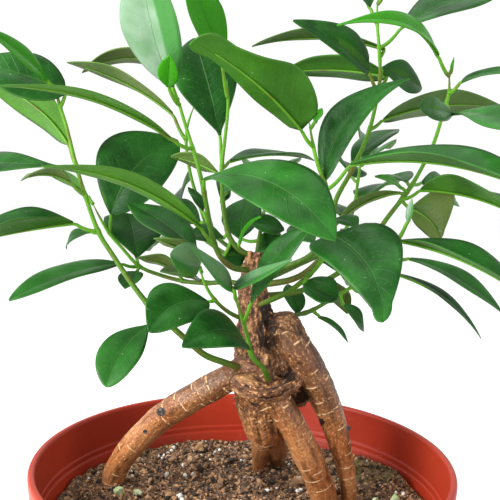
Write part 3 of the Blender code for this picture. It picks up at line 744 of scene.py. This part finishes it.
# Pale bars across the roots, one in the middle of some of the cells that are long across a root.
spread = stretched(unrolled, (1 / 4.2, 1 / 9, 1 / 9))
middle = cells(spread, 1, "Position")
luck, _, _ = axes(cells(spread, 1, "Color"))
from_middle = spread.node("ShaderNodeVectorMath", {0: spread, 1: middle}, {"operation": "SUBTRACT"})
along, right, back = axes(from_middle)
along = along + 0.05 * fleck - 0.025
near = ramp(along * along, 0.0075, 0.0030) * ramp(right * right + back * back, 0.20, 0.12)
bars = near * ramp(luck, 0.30, 0.34) * ramp(age, 0.75, 0.45) * ramp(speckle, 0.34, 0.44)
dots = ramp(cells(unrolled, 2.0), 0.19, 0.12) * ramp(clouds(unrolled, 6), 0.46, 0.58)
scar_colour = tinted(ramp(fleck, 0.44, 0.56), BARK_CRACK, BARK_SCAR)
colour = painted(
    tinted(ramp(grain, 0.22, 0.50), BARK_DARK, BARK_MID),
    (patch * ramp(age, 0, 1, 0.30, 0.35), BARK_LIGHT),
    (red * 0.30, BARK_RED),
    # Darker towards the top of the roots and trunk: the bark there is older, and this is partly painted shade for
    # the shadow under the leaves.
    (ramp(height, YOUNG_BARK_HEIGHT / MM, OLD_BARK_HEIGHT / MM + 4) * 0.72, BARK_DARK),
    (ramp(speckle, 0.55, 0.66) * 0.50, BARK_LIGHT),
    (ramp(speckle, 0.46, 0.36) * ramp(age, 0, 1, 0.38, 0.60), BARK_DARK),
    (ramp(fleck, 0.48, 0.38) * ramp(age, 0.15, 0.8, 0.1, 0.85), BARK_CRACK),
    (ramp(fleck, 0.58, 0.66) * ramp(age, 0.15, 0.8, 0.0, 0.75), BARK_LIGHT),
    (ramp(depth, -0.05, -0.55) * ramp(age, 0.1, 0.7, 0.5, 0.95), BARK_CRACK),
    (ramp(depth, 0.25, 0.8) * ramp(age, 0.1, 0.9, 0.0, 0.45), BARK_LIGHT),
    (dots * 0.6, BARK_BAR),
    (bars * 0.9, BARK_BAR),
    (ramp(scar * (0.2 + 1.5 * speckle), 0.40, 0.75), scar_colour),
)
relief = 0.16 * grain + 0.22 * speckle + 0.40 * bars + 0.16 * dots + 0.9 * age * fleck
dress(shader, colour, ramp(grain, 0.2, 0.8, 0.38, 0.25) + 0.35 * age, relief, 0.36)
trunk.data.materials.append(bark_finish)


# Each shoot is a green stem, older and browner where it grows out of the trunk, with a ring at each leaf, a
# pointed bud at its end, and leaves on short stalks. A leaf is a tough waxy blade: dark and glossy above with a
# pale midrib, matt yellowish green beneath, where the midrib stands out. The youngest leaves are bright green.

# A leaf: where its stalk leaves the stem, where the blade begins, its tip, its width in millimetres, its turn
# (0 faces the camera, 90 faces up, 180 shows the underside), how far it arches, folds and bends, where along it
# it is widest, how much wider its upper half is, how slender its ends are, how blunt its tip is, its look from
# the table below, and how many times as wavy its edge is as a plain leaf's.
LEAF_FIELDS = "joint base tip width turn arch fold bend belly lean taper blunt look wave"
Leaf = namedtuple("Leaf", LEAF_FIELDS, defaults=(0.05, 10, 0, 0.48, 0, 0.85, 0.08, "mature", 1))
# A shoot: how thick its stem is at its foot and at its end in millimetres, the stem's route and its leaves.
Shoot = namedtuple("Shoot", "thick route leaves")

SHOOTS = {
    "shoot_left": Shoot(
        (2.5, 1.0),
        (
            (246, 370, -2), (226, 363, -9), (205, 355, -12), (187, 340, -13), (170, 325, -13),
            (147, 303, -12), (130, 281, -11), (112, 254, -9), (98, 231, -8), (85, 195, -8), (76, 165, -8),
            (66, 125, -8), (59, 103, -8), (53, 76, -8),
        ),
        (
            Leaf((54, 87), (47, 80), (-15, 28, -44), 7, 50, 0.04, 12, look="young"),
            Leaf((61, 107), (66, 92), (-34, 64, -8), 17, 30, 0.10, 8, 0, 0.36, look="dark"),
            Leaf((76, 165), (69, 143), (-24, 76, 14), 23, 128, 0.10, 10, look="pale"),
            Leaf((85, 195), (70, 181), (21, 180, -22), 12, 100, 0.14, 15, look="brown"),
            Leaf((77, 169), (60, 166), (-60, 168, 8), 16, 62, 0.03, 8, 0, 0.62, look="dark"),
            Leaf((98, 231), (73, 222), (-32, 243, -28), 21, 77, 0.02, 38, look="dark"),
            Leaf((98, 232), (90, 231), (67, 248, 6), 5, 60, 0.15, 10, look="dark"),
            Leaf((147, 303), (148, 325), (106, 386, -36), 15, 30, 0.06, 8, 0.06, 0.58, 0, 0.6, 0.4),
        ),
    ),
    "shoot_left_back": Shoot(
        (2.0, 0.9),
        (
            (248, 285, 2), (228, 282, 7), (206, 283, 11), (183, 281, 14), (160, 275, 15), (139, 266, 14),
            (122, 248, 13), (109, 233, 12), (98, 214, 11), (92, 202, 11),
        ),
        (
            Leaf((109, 233), (111, 214), (178, 140, 22), 28, 15, 0.05, 8, 0.12, 0.50, 0.1, 0.7, look="dark"),
            Leaf((139, 266), (121, 263), (9, 300, -18), 14, 62, 0.06, 10, 0, 0.5, 0, 0.65),
            Leaf((139, 266), (137, 258), (127, 213, 38), 24, 25, 0.06, 8, 0, 0.58, look="dark"),
            Leaf((139, 266), (137, 271), (125, 288, 2), 10, 40, 0.05, 12),
            Leaf((183, 281), (178, 270), (137, 257, 6), 12, 110, look="olive"),
            Leaf((206, 283), (200, 279), (160, 271, -2), 10, 68, look="olive"),
            Leaf((93, 204), (88, 195), (52, 176, 20), 13, 110, 0.06, 12),
        ),
    ),
    "shoot_centre_left": Shoot(
        (2.3, 1.0),
        (
            (250, 270, -1), (234, 268, -8), (222, 259, -12), (214, 243, -13), (210, 225, -14),
            (204, 192, -15), (197, 162, -15), (191, 143, -15), (183, 117, -15), (174, 86, -15),
        ),
        (
            Leaf((192, 149), (170, 137), (-14, 86, -66), 10, 104, 0.08, 6, look="pale"),
            Leaf((213, 243), (200, 226), (42, 166, -58), 13, 112, 0.085, 8, look="pale"),
            Leaf((178, 100), (172, 86), (140, -46, -34), 22, -36, 0.06, 8, look="painted_silver_sheen"),
            Leaf((179, 105), (168, 86), (170, 54, -32), 7, 15, 0.04, 10, look="young"),
            Leaf((204, 192), (204, 178), (336, 240, -52), 24, 42, 0.13, 8, 0.06, 0.60, 0, 0.8),
            Leaf((210, 225), (203, 210), (188, 187, -8), 7, 60, look="dark"),
        ),
    ),
    "shoot_thin_back": Shoot(
        (1.7, 0.8),
        (
            (252, 260, 3), (230, 248, 8), (209, 228, 11), (198, 200, 12), (190, 172, 12), (186, 140, 12),
            (189, 120, 12), (196, 102, 13),
        ),
        (
            Leaf((186, 140), (173, 113), (67, 62, 20), 14, 108, 0.06, 10, look="olive"),
            Leaf((195, 104), (178, 78), (82, 72, 26), 14, 112, 0.18, 10, look="olive"),
            Leaf((196, 103), (203, 88), (214, 40, 44), 16, 40),
            Leaf((206, 222), (200, 222), (160, 206, 30), 12, 30, look="dark"),
        ),
    ),
    "shoot_centre": Shoot(
        (2.0, 1.0),
        (
            (253, 256, 1), (240, 250, 0), (230, 238, 0), (225, 220, 0), (222, 190, 0), (222, 165, 0),
            (225, 138, 0), (228, 108, 0), (227, 79, 0),
        ),
        (
            Leaf((223, 165), (220, 134), (194, 38, 14), 23, 12, 0.05, 8, 0, 0.60, 0, 0.75, look="dark"),
            Leaf((228, 98), (222, 62), (184, -28, -10), 14, 35, 0.05, 12, look="young"),
            Leaf((231, 240), (224, 256), (245, 255, 3), 9, 10, 0.03, 10, 0, 0.5, 0, 0.65, look="dark"),
            Leaf((222, 178), (218, 172), (171, 156, 6), 10, 120, look="olive"),
            Leaf((222, 196), (226, 192), (252, 176, 20), 13, 70),
            Leaf((222, 168), (230, 160), (314, 160, 26), 15, 84, 0.06, 10, look="dark"),
            Leaf((228, 232), (224, 237), (190, 233, 2), 10, 50, 0.05, 10, 0, 0.6, look="dark"),
            Leaf((224, 206), (222, 201), (221, 178, 16), 7, 40, look="dark"),
            Leaf((238, 248), (239, 243), (261, 216, -8), 1.3, 20, 0.02, 0, 0.12, look="young"),
        ),
    ),
    "shoot_right_centre": Shoot(
        (2.4, 1.0),
        (
            (256, 274, -1), (285, 267, -8), (310, 256, -12), (325, 236, -12), (328, 212, -12),
            (326, 188, -12), (318, 165, -13), (313, 145, -13), (309, 120, -13),
        ),
        (
            Leaf((313, 147), (301, 129), (193, 40, -46), 17, 146, 0.02, 12, 0.04, 0.28, 0.40, 0.6, 0.56, wave=4),
            Leaf((325, 184), (325, 179), (411, 78, -14), 14, 34, 0.05, 8, 0.17, 0.36, 0.1, 1.0, look="dark"),
            Leaf((326, 190), (350, 164), (560, 205, -50), 21, 75, 0.09, 26),
            Leaf((311, 128), (315, 121), (322, 108, -10), 4, 40, look="young"),
            Leaf((328, 214), (336, 218), (358, 226, -22), 9, 60, look="dark"),
            Leaf((322, 240), (314, 242), (290, 226, 8), 10, 40, look="dark"),
        ),
    ),
    "shoot_right_tall": Shoot(
        (2.4, 0.9),
        (
            (258, 285, 0), (290, 280, -3), (310, 269, -4), (326, 250, -4), (333, 225, -3), (336, 200, -1),
            (352, 170, 3), (367, 137, 5), (375, 108, 5), (380, 78, 5), (379, 47, 5), (377, 20, 5),
            (378, -4, 5),
        ),
        (
            Leaf((376, 91), (369, 71), (293, 20, -16), 12, 44, 0.05, 10, 0.02, 0.28, 0.35, 0.75, look="dark"),
            Leaf((380, 58), (385, 48), (252, 46, 26), 15, 102, 0.07, 12, look="shaded"),
            Leaf((380, 48), (402, 26), (515, -14, 20), 21, 60, look="dark"),
            Leaf((371, 130), (383, 119), (505, 108, 32), 16, 125, 0.07, 10, 0, 0.38, look="shaded"),
            Leaf((380, 88), (388, 76), (281, 73, 34), 17, 122, 0.05, 10, 0, 0.4),
            Leaf((380, 78), (382, 68), (422, 88, 24), 12, 40),
            Leaf((352, 170), (352, 160), (399, 129, 28), 13, 60, look="dark"),
            Leaf((378, 24), (370, 6), (340, -38, 10), 17, 60, 0.05, 14),
            Leaf((378, 4), (386, -10), (410, -52, -8), 12, 40, 0.05, 14),
        ),
    ),
    "shoot_far_right": Shoot(
        (2.2, 1.0),
        (
            (256, 296, 3), (300, 291, 7), (340, 272, 11), (366, 247, 12), (388, 217, 12), (402, 199, 11),
            (415, 180, 10), (433, 145, 8), (444, 110, 6), (449, 92, 6), (449, 70, 6),
        ),
        (
            Leaf((448, 76), (438, 54), (337, 25, -24), 11, 58, 0.15, 14, 0.03, 0.28, 0, 1.25, look="young"),
            Leaf((449, 94), (462, 80), (530, 71, -12), 6, 66, 0.07, 10, 0, 0.3, 0, 0.7, look="dark"),
            Leaf((446, 102), (450, 113), (544, 134, -48), 14, 55, 0.05, 10, 0, 0.66),
            Leaf((445, 106), (452, 114), (420, 107, -24), 8, 30, 0.03, 10, 0, 0.60, 0, 0.55),
            Leaf((402, 199), (421, 189), (536, 226, -36), 21, 92, 0.06, 27),
            Leaf((406, 194), (398, 192), (334, 228, 8), 9, 112, 0.12, 10, look="olive"),
            Leaf((408, 192), (402, 187), (375, 176, -4), 4, 60, 0.05, 14, look="young"),
            Leaf((411, 186), (407, 181), (388, 176, 38), 12, 70),
            Leaf((413, 184), (422, 182), (457, 203, 40), 15, 60, 0.06, 10),
            Leaf((402, 200), (410, 208), (441, 238, 2), 21, 150, 0.05, 8, 0.11, 0.44, 0.45, 0.85, 0.25, "olive"),
            Leaf((449, 75), (450, 72), (454, 57, 6), 1.5, 60, 0.02, 0, look="young"),
        ),
    ),
    "shoot_right_front": Shoot(
        (2.0, 1.0),
        (
            (258, 305, -4), (288, 292, -14), (312, 272, -22), (330, 251, -28), (350, 240, -30),
            (375, 238, -30), (398, 242, -30),
        ),
        (
            Leaf((333, 250), (330, 234), (383, 321, -62), 25, 18, 0.05, 6, 0.11, 0.22, 0.14, 0.8, 0.24, look="dark"),
            Leaf((394, 242), (402, 240), (530, 300, -52), 18, 74, 0.06, 24, look="dark"),
            Leaf((308, 275), (304, 283), (337, 300, -26), 14, 50, 0.05, 10, 0, 0.5, 0, 0.6, look="dark"),
            Leaf((396, 242), (408, 220), (412, 199, -30), 2.6, 30, 0.02, 0, 0, 0.4, 0, 0.7, look="painted_silver_sheen"),
        ),
    ),
    "shoot_right_low": Shoot(
        (1.8, 0.9),
        (
            (268, 318, 2), (305, 313, 9), (330, 300, 14), (355, 285, 16), (380, 270, 16), (402, 258, 16),
        ),
        (
            Leaf((400, 260), (410, 258), (503, 313, -2), 11, 62, 0.08, 12),
            Leaf((380, 270), (396, 273), (481, 338, 0), 8, 72, 0.10, 12, look="dark"),
            Leaf((330, 300), (321, 277), (347, 313, 30), 12, 130, 0.05, 10, 0, 0.48, 0, 0.75, look="olive"),
            Leaf((340, 294), (344, 305), (364, 331, 20), 9, 60, 0.08, 10),
            Leaf((312, 309), (320, 316), (348, 342, 8), 6, 70, 0.08, 10),
            Leaf((352, 287), (362, 292), (384, 316, 36), 13, 70, 0.06, 10),
            Leaf((305, 313), (297, 313), (288, 284, 22), 10, 40),
        ),
    ),
    "sprig_front": Shoot(
        (2.1, 1.0),
        (
            (270, 386, -5), (264, 369, -13), (252, 356, -16), (247, 335, -17), (241, 314, -19),
            (231, 286, -22),
        ),
        (
            Leaf((233, 291), (232, 286), (191, 246, -48), 7.5, 50, 0.02, 14, -0.04, 0.34, 0, 0.7, look="painted_soft_sheen"),
            Leaf((236, 299), (234, 286), (292, 259, -40), 6, 50, 0.02, 14, -0.04, 0.32, 0, 0.8, look="painted_soft_sheen"),
            Leaf((251, 354), (248, 347), (182, 346, -44), 17, 42, 0.16, 8, 0.08, 0.48, 0, 0.75, look="dark"),
            Leaf((244, 322), (251, 301), (314, 224, -32), 11, 44, 0.05, 8, 0.05),
        ),
    ),
    "sprig_left_low": Shoot(
        (1.7, 0.8),
        (
            (250, 322, -2), (230, 313, -10), (215, 300, -14), (204, 282, -16), (199, 262, -17),
        ),
        (
            Leaf((215, 300), (208, 301), (149, 331, -32), 19, 32, 0.07, 8, 0.14, 0.48, 0, 0.7, 0.25, look="dark"),
            Leaf((201, 272), (200, 266), (170, 254, -36), 11, 14, 0.10, 8, 0, 0.6, 0, 0.6, look="painted_soft_sheen"),
            Leaf((199, 264), (190, 254), (154, 238, -30), 11, 110, look="olive"),
            Leaf((199, 263), (196, 250), (128, 203, 6), 16, 50, look="dark"),
        ),
    ),
    "shoot_back_left": Shoot(
        (1.9, 0.9),
        (
            (252, 272, 5), (232, 258, 16), (205, 240, 26), (175, 214, 33), (152, 189, 37), (138, 165, 39),
        ),
        (
            Leaf((192, 229), (186, 232), (150, 250, 60), 20, 80, 0.06, 10),
            Leaf((175, 214), (180, 206), (190, 180, 72), 20, 80, 0.06, 10, look="dark"),
            Leaf((163, 201), (155, 199), (112, 192, 68), 21, 80, 0.06, 10),
            Leaf((152, 189), (155, 182), (168, 158, 72), 20, 80, 0.06, 10),
            Leaf((143, 174), (137, 175), (106, 172, 64), 18, 80, 0.06, 10, look="dark"),
            Leaf((138, 166), (140, 160), (152, 150, 76), 15, 80, 0.06, 10),
        ),
    ),
    "shoot_back_middle": Shoot(
        (1.9, 0.9),
        (
            (256, 264, 4), (258, 246, 20), (262, 222, 29), (267, 196, 34), (271, 172, 37),
        ),
        (
            Leaf((259, 240), (240, 238), (246, 198, 40), 17, 20, look="dark"),
            Leaf((263, 218), (284, 229), (250, 222, 24), 9, 35, look="dark"),
            Leaf((262, 225), (280, 234), (257, 251, 26), 9, 35),
            Leaf((266, 200), (272, 197), (304, 186, 72), 20, 80, 0.06, 10, look="dark"),
            Leaf((269, 186), (265, 181), (246, 166, 78), 19, 80, 0.06, 10),
            Leaf((271, 173), (275, 170), (290, 166, 80), 17, 80, 0.06, 10),
        ),
    ),
    "shoot_back_right": Shoot(
        (2.1, 0.9),
        (
            (260, 282, 4), (296, 266, 20), (334, 246, 31), (352, 214, 35), (358, 180, 37), (362, 150, 39),
        ),
        (
            Leaf((318, 254), (321, 260), (346, 284, 58), 18, 80, 0.06, 10),
            Leaf((336, 243), (345, 240), (386, 238, 68), 21, 80, 0.06, 10, look="dark"),
            Leaf((350, 220), (343, 217), (316, 202, 72), 20, 80, 0.06, 10),
            Leaf((354, 202), (362, 199), (396, 184, 70), 20, 80, 0.06, 10),
            Leaf((358, 181), (352, 176), (334, 158, 76), 20, 80, 0.06, 10, look="dark"),
            Leaf((360, 165), (366, 160), (390, 148, 76), 18, 80, 0.06, 10),
            Leaf((362, 151), (361, 144), (354, 126, 78), 17, 80, 0.06, 10),
        ),
    ),
}

# A look: how young, how light and how olive the leaf is, each from 0 to 1. A light past 1 adds a painted sheen: a
# silvery reflection painted into the leaf's colour.
LOOKS = {
    "mature": (0, 0.45, 0),
    "dark": (0, 0.12, 0),
    "pale": (0, 0.95, 0.12),
    "young": (1, 0.6, 0),
    "painted_silver_sheen": (0, 1.28, 0),
    "painted_soft_sheen": (0, 1.14, 0),
    "olive": (0, 0.45, 0.75),
    "brown": (0, 0.2, 1),
    "shaded": (0, 0.1, 0.35),
}
LEAF_SEED = 11
STEM_STEP = 0.0016
STEM_SIDES = 12
NODE_SWELLING = 0.28
NODE_LENGTH = 0.0011
BUD_LENGTH = 0.008
BUD_TIP = 0.12
STALK_RADIUS = 0.00072
STALK_SAG = 0.10
STALK_SIDES = 7
STALK_ROWS = 7
STALK_AGE = 0.08
RIB_RADIUS = STALK_RADIUS * 0.65
RIB_TIP_RADIUS = 0.00008
RIB_REACH = 0.9
RIB_ROWS = 14
RIB_AGE = 0.35
LEAF_COLUMNS = 12
LEAF_ROWS = 30
LEAF_THICKNESS = 0.00042
STALK_HALF = 0.00055
TIP_HALF = 0.00025
LEAF_CROWDING = 1.3
LEAF_TIP_START = 0.9
LEAF_FOLD_ROUNDING = 0.006
LEAF_CROWN = 0.07
LEAF_WAVE = 0.050
LEAF_WAVES = 9
LEAF_UPPER_DARK = (0.004, 0.042, 0.003, 1)
LEAF_UPPER_LIGHT = (0.023, 0.140, 0.015, 1)
LEAF_UNDER_DARK = (0.017, 0.073, 0.004, 1)
LEAF_UNDER_LIGHT = (0.040, 0.150, 0.009, 1)
# The colour of the painted sheen, a silvery reflection painted onto some leaves.
LEAF_PAINTED_SHEEN = (0.26, 0.33, 0.27, 1)
LEAF_YOUNG = (0.024, 0.185, 0.002, 1)
LEAF_OLIVE = (0.100, 0.132, 0.034, 1)
LEAF_VEIN = (0.13, 0.29, 0.07, 1)
LEAF_SPECK = (0.45, 0.50, 0.42, 1)
STEM_YOUNG = (0.080, 0.25, 0.008, 1)
STEM_OLD = (0.045, 0.110, 0.005, 1)
STEM_BARK = (0.15, 0.085, 0.030, 1)
STEM_PATCH = (0.105, 0.055, 0.014, 1)
STEM_DOT = (0.22, 0.27, 0.09, 1)


def on_stem(route, across, down):
    """The point of a stem's route that the camera sees nearest to across, down."""
    target = Vector((across, down))
    nearest = None
    for start, end in zip(route, route[1:]):
        start = Vector(start)
        run = Vector(end) - start
        share = (target - start.xy).dot(run.xy) / run.xy.length_squared
        point = start + run * min(1, max(0, share))
        if nearest is None or (point.xy - target).length < (nearest.xy - target).length:
            nearest = point
    return nearest


def outline(along, belly, taper):
    """Half of a blade's width at a place along it, as a share of the widest half."""
    return max(0, math.sin(math.pi * along ** (math.log(0.5) / math.log(belly)))) ** taper


class Blade:
    """The place and shape of one leaf."""

    def __init__(self, route, leaf, phase):
        joint = on_stem(route, *leaf.joint)
        stalk = (Vector(leaf.base) - joint.xy).length
        whole = stalk + (Vector(leaf.tip[:2]) - Vector(leaf.base)).length
        behind = joint.z + (leaf.tip[2] - joint.z) * stalk / whole
        self.joint = seen(*joint)
        self.base = seen(*leaf.base, behind)
        self.chord = seen(*leaf.tip) - self.base
        along = self.chord.normalized()
        facing = VIEW_EYE - self.base - self.chord / 2
        facing = (facing - along * facing.dot(along)).normalized()
        upward = along.cross(facing)
        if upward.z < 0:
            upward.negate()
        turn = math.radians(leaf.turn)
        self.normal = facing * math.cos(turn) + upward * math.sin(turn)
        self.side = along.cross(self.normal)
        if self.side.z < 0:
            self.side.negate()
        self.half = leaf.width * MM / 2
        self.curve = (self.normal * leaf.arch + self.side * leaf.bend) * self.chord.length
        self.fold = math.radians(leaf.fold)
        self.belly = leaf.belly
        self.lean = leaf.lean
        self.taper = leaf.taper
        self.blunt = leaf.blunt
        self.wave = LEAF_WAVE * leaf.wave
        self.phase = phase

    def rib(self, along):
        """A point of the midrib."""
        return self.base + self.chord * along + self.curve * 4 * along * (1 - along)

    def point(self, along, across):
        """A point of the blade, with across from -1 to 1. It is folded at the midrib and wavy at its edge."""
        least = STALK_HALF + (TIP_HALF - STALK_HALF) * along
        half = self.half * outline(along, self.belly, self.taper)
        if along > 0.5:
            past = max(0, along - LEAF_TIP_START) / (1 - LEAF_TIP_START)
            half = max(half, self.half * self.blunt * math.sqrt(max(0, 1 - past**2)))
        edge = math.copysign(1, across)
        half = max(least, half * (1 + self.lean * (1 - along**4) * edge))
        reach = math.sqrt(across**2 + LEAF_FOLD_ROUNDING) - math.sqrt(LEAF_FOLD_ROUNDING)
        rise = reach * math.sin(self.fold)
        rise += LEAF_CROWN * math.sin(math.pi * min(1, abs(across)))
        rise += self.wave * across**2 * math.sin(LEAF_WAVES * along + self.phase + 2 * edge)
        return self.rib(along) + (self.side * across * math.cos(self.fold) + self.normal * rise) * half


def add_blade(bm, blade, look, layers):
    """The leaf's thin blade: its upper side takes the second material and its underside the third."""
    place_layer, look_layer, uv_layer = layers
    verts = bmesh.ops.create_grid(bm, x_segments=LEAF_COLUMNS, y_segments=LEAF_ROWS, size=1)["verts"]
    faces = {face for vert in verts for face in vert.link_faces}
    for vert in verts:
        across = vert.co.x
        along = 1 - ((1 - vert.co.y) / 2) ** LEAF_CROWDING
        vert[place_layer] = (across, along, 0)
        vert[look_layer] = look
        vert.co = blade.point(along, across)
    shell = bmesh.ops.solidify(bm, geom=list(faces), thickness=LEAF_THICKNESS)["geom"]
    faces |= {item for item in shell if isinstance(item, bmesh.types.BMFace)}
    faces |= {face for vert in verts for face in vert.link_faces}
    bmesh.ops.recalc_face_normals(bm, faces=list(faces))
    for face in faces:
        face.normal_update()
        face.material_index = 1 if face.normal.dot(blade.normal) > 0 else 2
        for loop in face.loops:
            across, along, _ = loop.vert[place_layer]
            loop[uv_layer].uv = (across / 2 + 0.5, along)


def add_stalk(bm, blade, look, layers):
    """The leaf's stalk, which runs on under the blade as its midrib."""
    _, look_layer, _ = layers
    points = []
    start = blade.joint
    reach = blade.base - start
    sag = Vector((0, 0, -STALK_SAG)) * reach.length
    for row in range(STALK_ROWS):
        share = row / STALK_ROWS
        middle = start + reach * share + sag * 4 * share * (1 - share)
        points.append(Vector((*middle, STALK_RADIUS * (1.05 - 0.25 * share))))
    for row in range(RIB_ROWS):
        share = row / RIB_ROWS * RIB_REACH
        radius = RIB_RADIUS * (1 - share) ** 0.8 + RIB_TIP_RADIUS
        middle = blade.rib(share) - blade.normal * (LEAF_THICKNESS * 0.5 + radius * 0.8)
        points.append(Vector((*middle, radius)))
    for number, ring in enumerate(sweep(bm, points, STALK_SIDES)):
        age = STALK_AGE if number < STALK_ROWS else RIB_AGE
        for vert in ring:
            vert[look_layer] = (age, look[1], look[2])


def add_stem(bm, shoot, layers):
    """The stem, with a ring at each leaf and a bud at its end."""
    _, look_layer, _ = layers
    thick, thin = (diameter / 2 * MM for diameter in shoot.thick)
    last = len(shoot.route) - 1
    points = []
    for index, point in enumerate(shoot.route):
        points.append(Vector((*seen(*point), thick + (thin - thick) * index / last)))
    route = smooth_route(points, STEM_STEP)
    joints = [seen(*on_stem(shoot.route, *leaf.joint)) for leaf in shoot.leaves]
    lengths = [0]
    for start, end in zip(route, route[1:]):
        lengths.append(lengths[-1] + (end - start).xyz.length)
    for point, length in zip(route, lengths):
        closest = min((joint - point.xyz).length for joint in joints)
        point.w *= 1 + NODE_SWELLING * math.exp(-((closest / NODE_LENGTH) ** 2))
        left = lengths[-1] - length
        if left < BUD_LENGTH:
            point.w *= BUD_TIP + (1 - BUD_TIP) * (left / BUD_LENGTH) ** 0.7
    for ring, length in zip(sweep(bm, route, STEM_SIDES), lengths):
        for vert in ring:
            vert[look_layer] = (max(0.1, 1 - length / lengths[-1]), 0.5, 0)


stem_finish, shader, place = new_finish("stem")
age, _, olive = axes(carried(place, "look", "Vector"))
streak = clouds(place, 1.2, 3)
colour = painted(
    tinted(ramp(age, 0.10, 0.80), STEM_YOUNG, STEM_OLD),
    (ramp(age + 0.5 * streak, 1.1, 1.45), STEM_BARK),
    (olive * 0.4, LEAF_OLIVE),
    (ramp(clouds(place, 10), 0.54, 0.66) * 0.55, STEM_PATCH),
    (ramp(cells(place, 1.3), 0.20, 0.12) * 0.6, STEM_DOT),
)
dress(shader, colour, 0.42 + 0.2 * streak, 0.15 * streak, 0.22)


def leaf_finish(name, dark_colour, light_colour, roughness, vein_strength):
    """One side of the leaves, whose own coordinates run across and along each blade."""
    material, shader, place = new_finish(name)
    across, along, _ = axes(place.node("ShaderNodeTexCoord", {}, output="UV"))
    # Where the painted sheen lies: a silvery reflection painted over the blade, faint along one edge and patchy.
    painted_sheen_share = ramp(across, 0.30, 0.38, 0.12, 1.0) * ramp(clouds(place, 9, 2), 0.25, 0.6, 0.6, 1.0)
    across = place.node("ShaderNodeMath", {0: across * 2 - 1}, {"operation": "ABSOLUTE"})
    youth, light, olive = axes(carried(place, "look", "Vector"))
    mottle = clouds(place, 7, 3)
    shade = ramp(clouds(place, 16, 2), 0.32, 0.68)
    grain = clouds(place, 0.9, 3)
    midrib = ramp(across + 0.035 * along, 0.060, 0.022)
    slant = along * 11 - across * 2.1 + 0.25 * mottle
    vein = ramp(place.node("ShaderNodeMath", {0: slant, 1: 0.5}, {"operation": "PINGPONG"}), 0.07, 0.01)
    vein = vein * ramp(across, 0.92, 0.7)
    edge = ramp(across, 0.965, 0.995)
    specks = ramp(cells(place, 3.1), 0.085, 0.045) * ramp(clouds(place, 8), 0.5, 0.62)
    colour = painted(
        tinted(light + 0.7 * (mottle - 0.5) + 0.5 * (shade - 0.5), dark_colour, light_colour),
        ((light * 2 - 2) * painted_sheen_share, LEAF_PAINTED_SHEEN),
        (youth, LEAF_YOUNG),
        (olive * ramp(clouds(place, 15), 0.3, 0.6, 0.55, 1.0), LEAF_OLIVE),
        (vein * vein_strength * 0.3, LEAF_VEIN),
        (ramp(grain, 0.55, 0.75) * 0.10, LEAF_VEIN),
        (edge * 0.14, LEAF_VEIN),
        (midrib * (vein_strength - 0.1 * youth), LEAF_VEIN),
        (specks * 0.5, LEAF_SPECK),
    )
    relief = 0.05 * vein - 0.16 * midrib + 0.05 * grain + 0.45 * mottle
    dress(shader, colour, roughness + 0.14 * grain + 0.16 * mottle - 0.10 * shade, relief, 0.13)
    return material


upper_finish = leaf_finish("leaf_upper", LEAF_UPPER_DARK, LEAF_UPPER_LIGHT, 0.28, 0.13)
under_finish = leaf_finish("leaf_under", LEAF_UNDER_DARK, LEAF_UNDER_LIGHT, 0.42, 0.16)

chance = random.Random(LEAF_SEED)
for name, shoot in SHOOTS.items():
    bm = bmesh.new()
    place_layer = bm.verts.layers.float_vector.new("place")
    look_layer = bm.verts.layers.float_vector.new("look")
    uv_layer = bm.loops.layers.uv.new("blade")
    layers = (place_layer, look_layer, uv_layer)
    add_stem(bm, shoot, layers)
    for leaf in shoot.leaves:
        blade = Blade(shoot.route, leaf, chance.uniform(0, math.tau))
        add_stalk(bm, blade, LOOKS[leaf.look], layers)
        add_blade(bm, blade, LOOKS[leaf.look], layers)
    new_piece(f"{name}_foliage", bm, [stem_finish, upper_finish, under_finish], [name])


# The studio is a pale seamless paper floor in a white room. A large softbox stands to the upper left in front
# with a small one below it for the roots, and weaker ones fill in from the right and from above.
STUDIO_FLOOR_REACH = 4
PAPER = (0.94, 0.94, 0.94, 1)
PAPER_PALE = (0.96, 0.96, 0.96, 1)
ROOM_WHITE = (1, 1, 1, 1)
ROOM_LIGHT = 1.04
# Each softbox: where it stands, its width and its power. All face the middle of the plant.
SOFTBOXES = {
    "key": ((-0.72, -0.36, 0.58), 0.42, 13),
    "low": ((-0.50, -0.55, 0.24), 0.22, 3.5),
    "fill": ((0.65, -0.45, 0.40), 0.50, 1.5),
    "top": ((-0.05, 0.10, 0.95), 0.60, 3),
}
PLANT_MIDDLE = Vector((0, 0, 0.17))

bm = bmesh.new()
bmesh.ops.create_grid(bm, x_segments=1, y_segments=1, size=STUDIO_FLOOR_REACH)
floor = formed("studio_floor", bm)
floor_finish, shader, place = new_finish("studio_floor")
paper = clouds(place, 40)
dress(shader, tinted(paper, PAPER, PAPER_PALE), 0.6 + 0.1 * paper)
floor.data.materials.append(floor_finish)

world = bpy.data.worlds.new("studio")
world.use_nodes = True
background = world.node_tree.nodes["Background"]
background.inputs["Color"].default_value = ROOM_WHITE
background.inputs["Strength"].default_value = ROOM_LIGHT
bpy.context.scene.world = world

for name, (spot, size, power) in SOFTBOXES.items():
    lamp = bpy.data.lights.new(name, "AREA")
    lamp.size = size
    lamp.energy = power
    softbox = placed(name, lamp)
    softbox.location = spot
    softbox.rotation_euler = (Vector(spot) - PLANT_MIDDLE).to_track_quat("Z", "Y").to_euler()

bpy.context.view_layer.update()
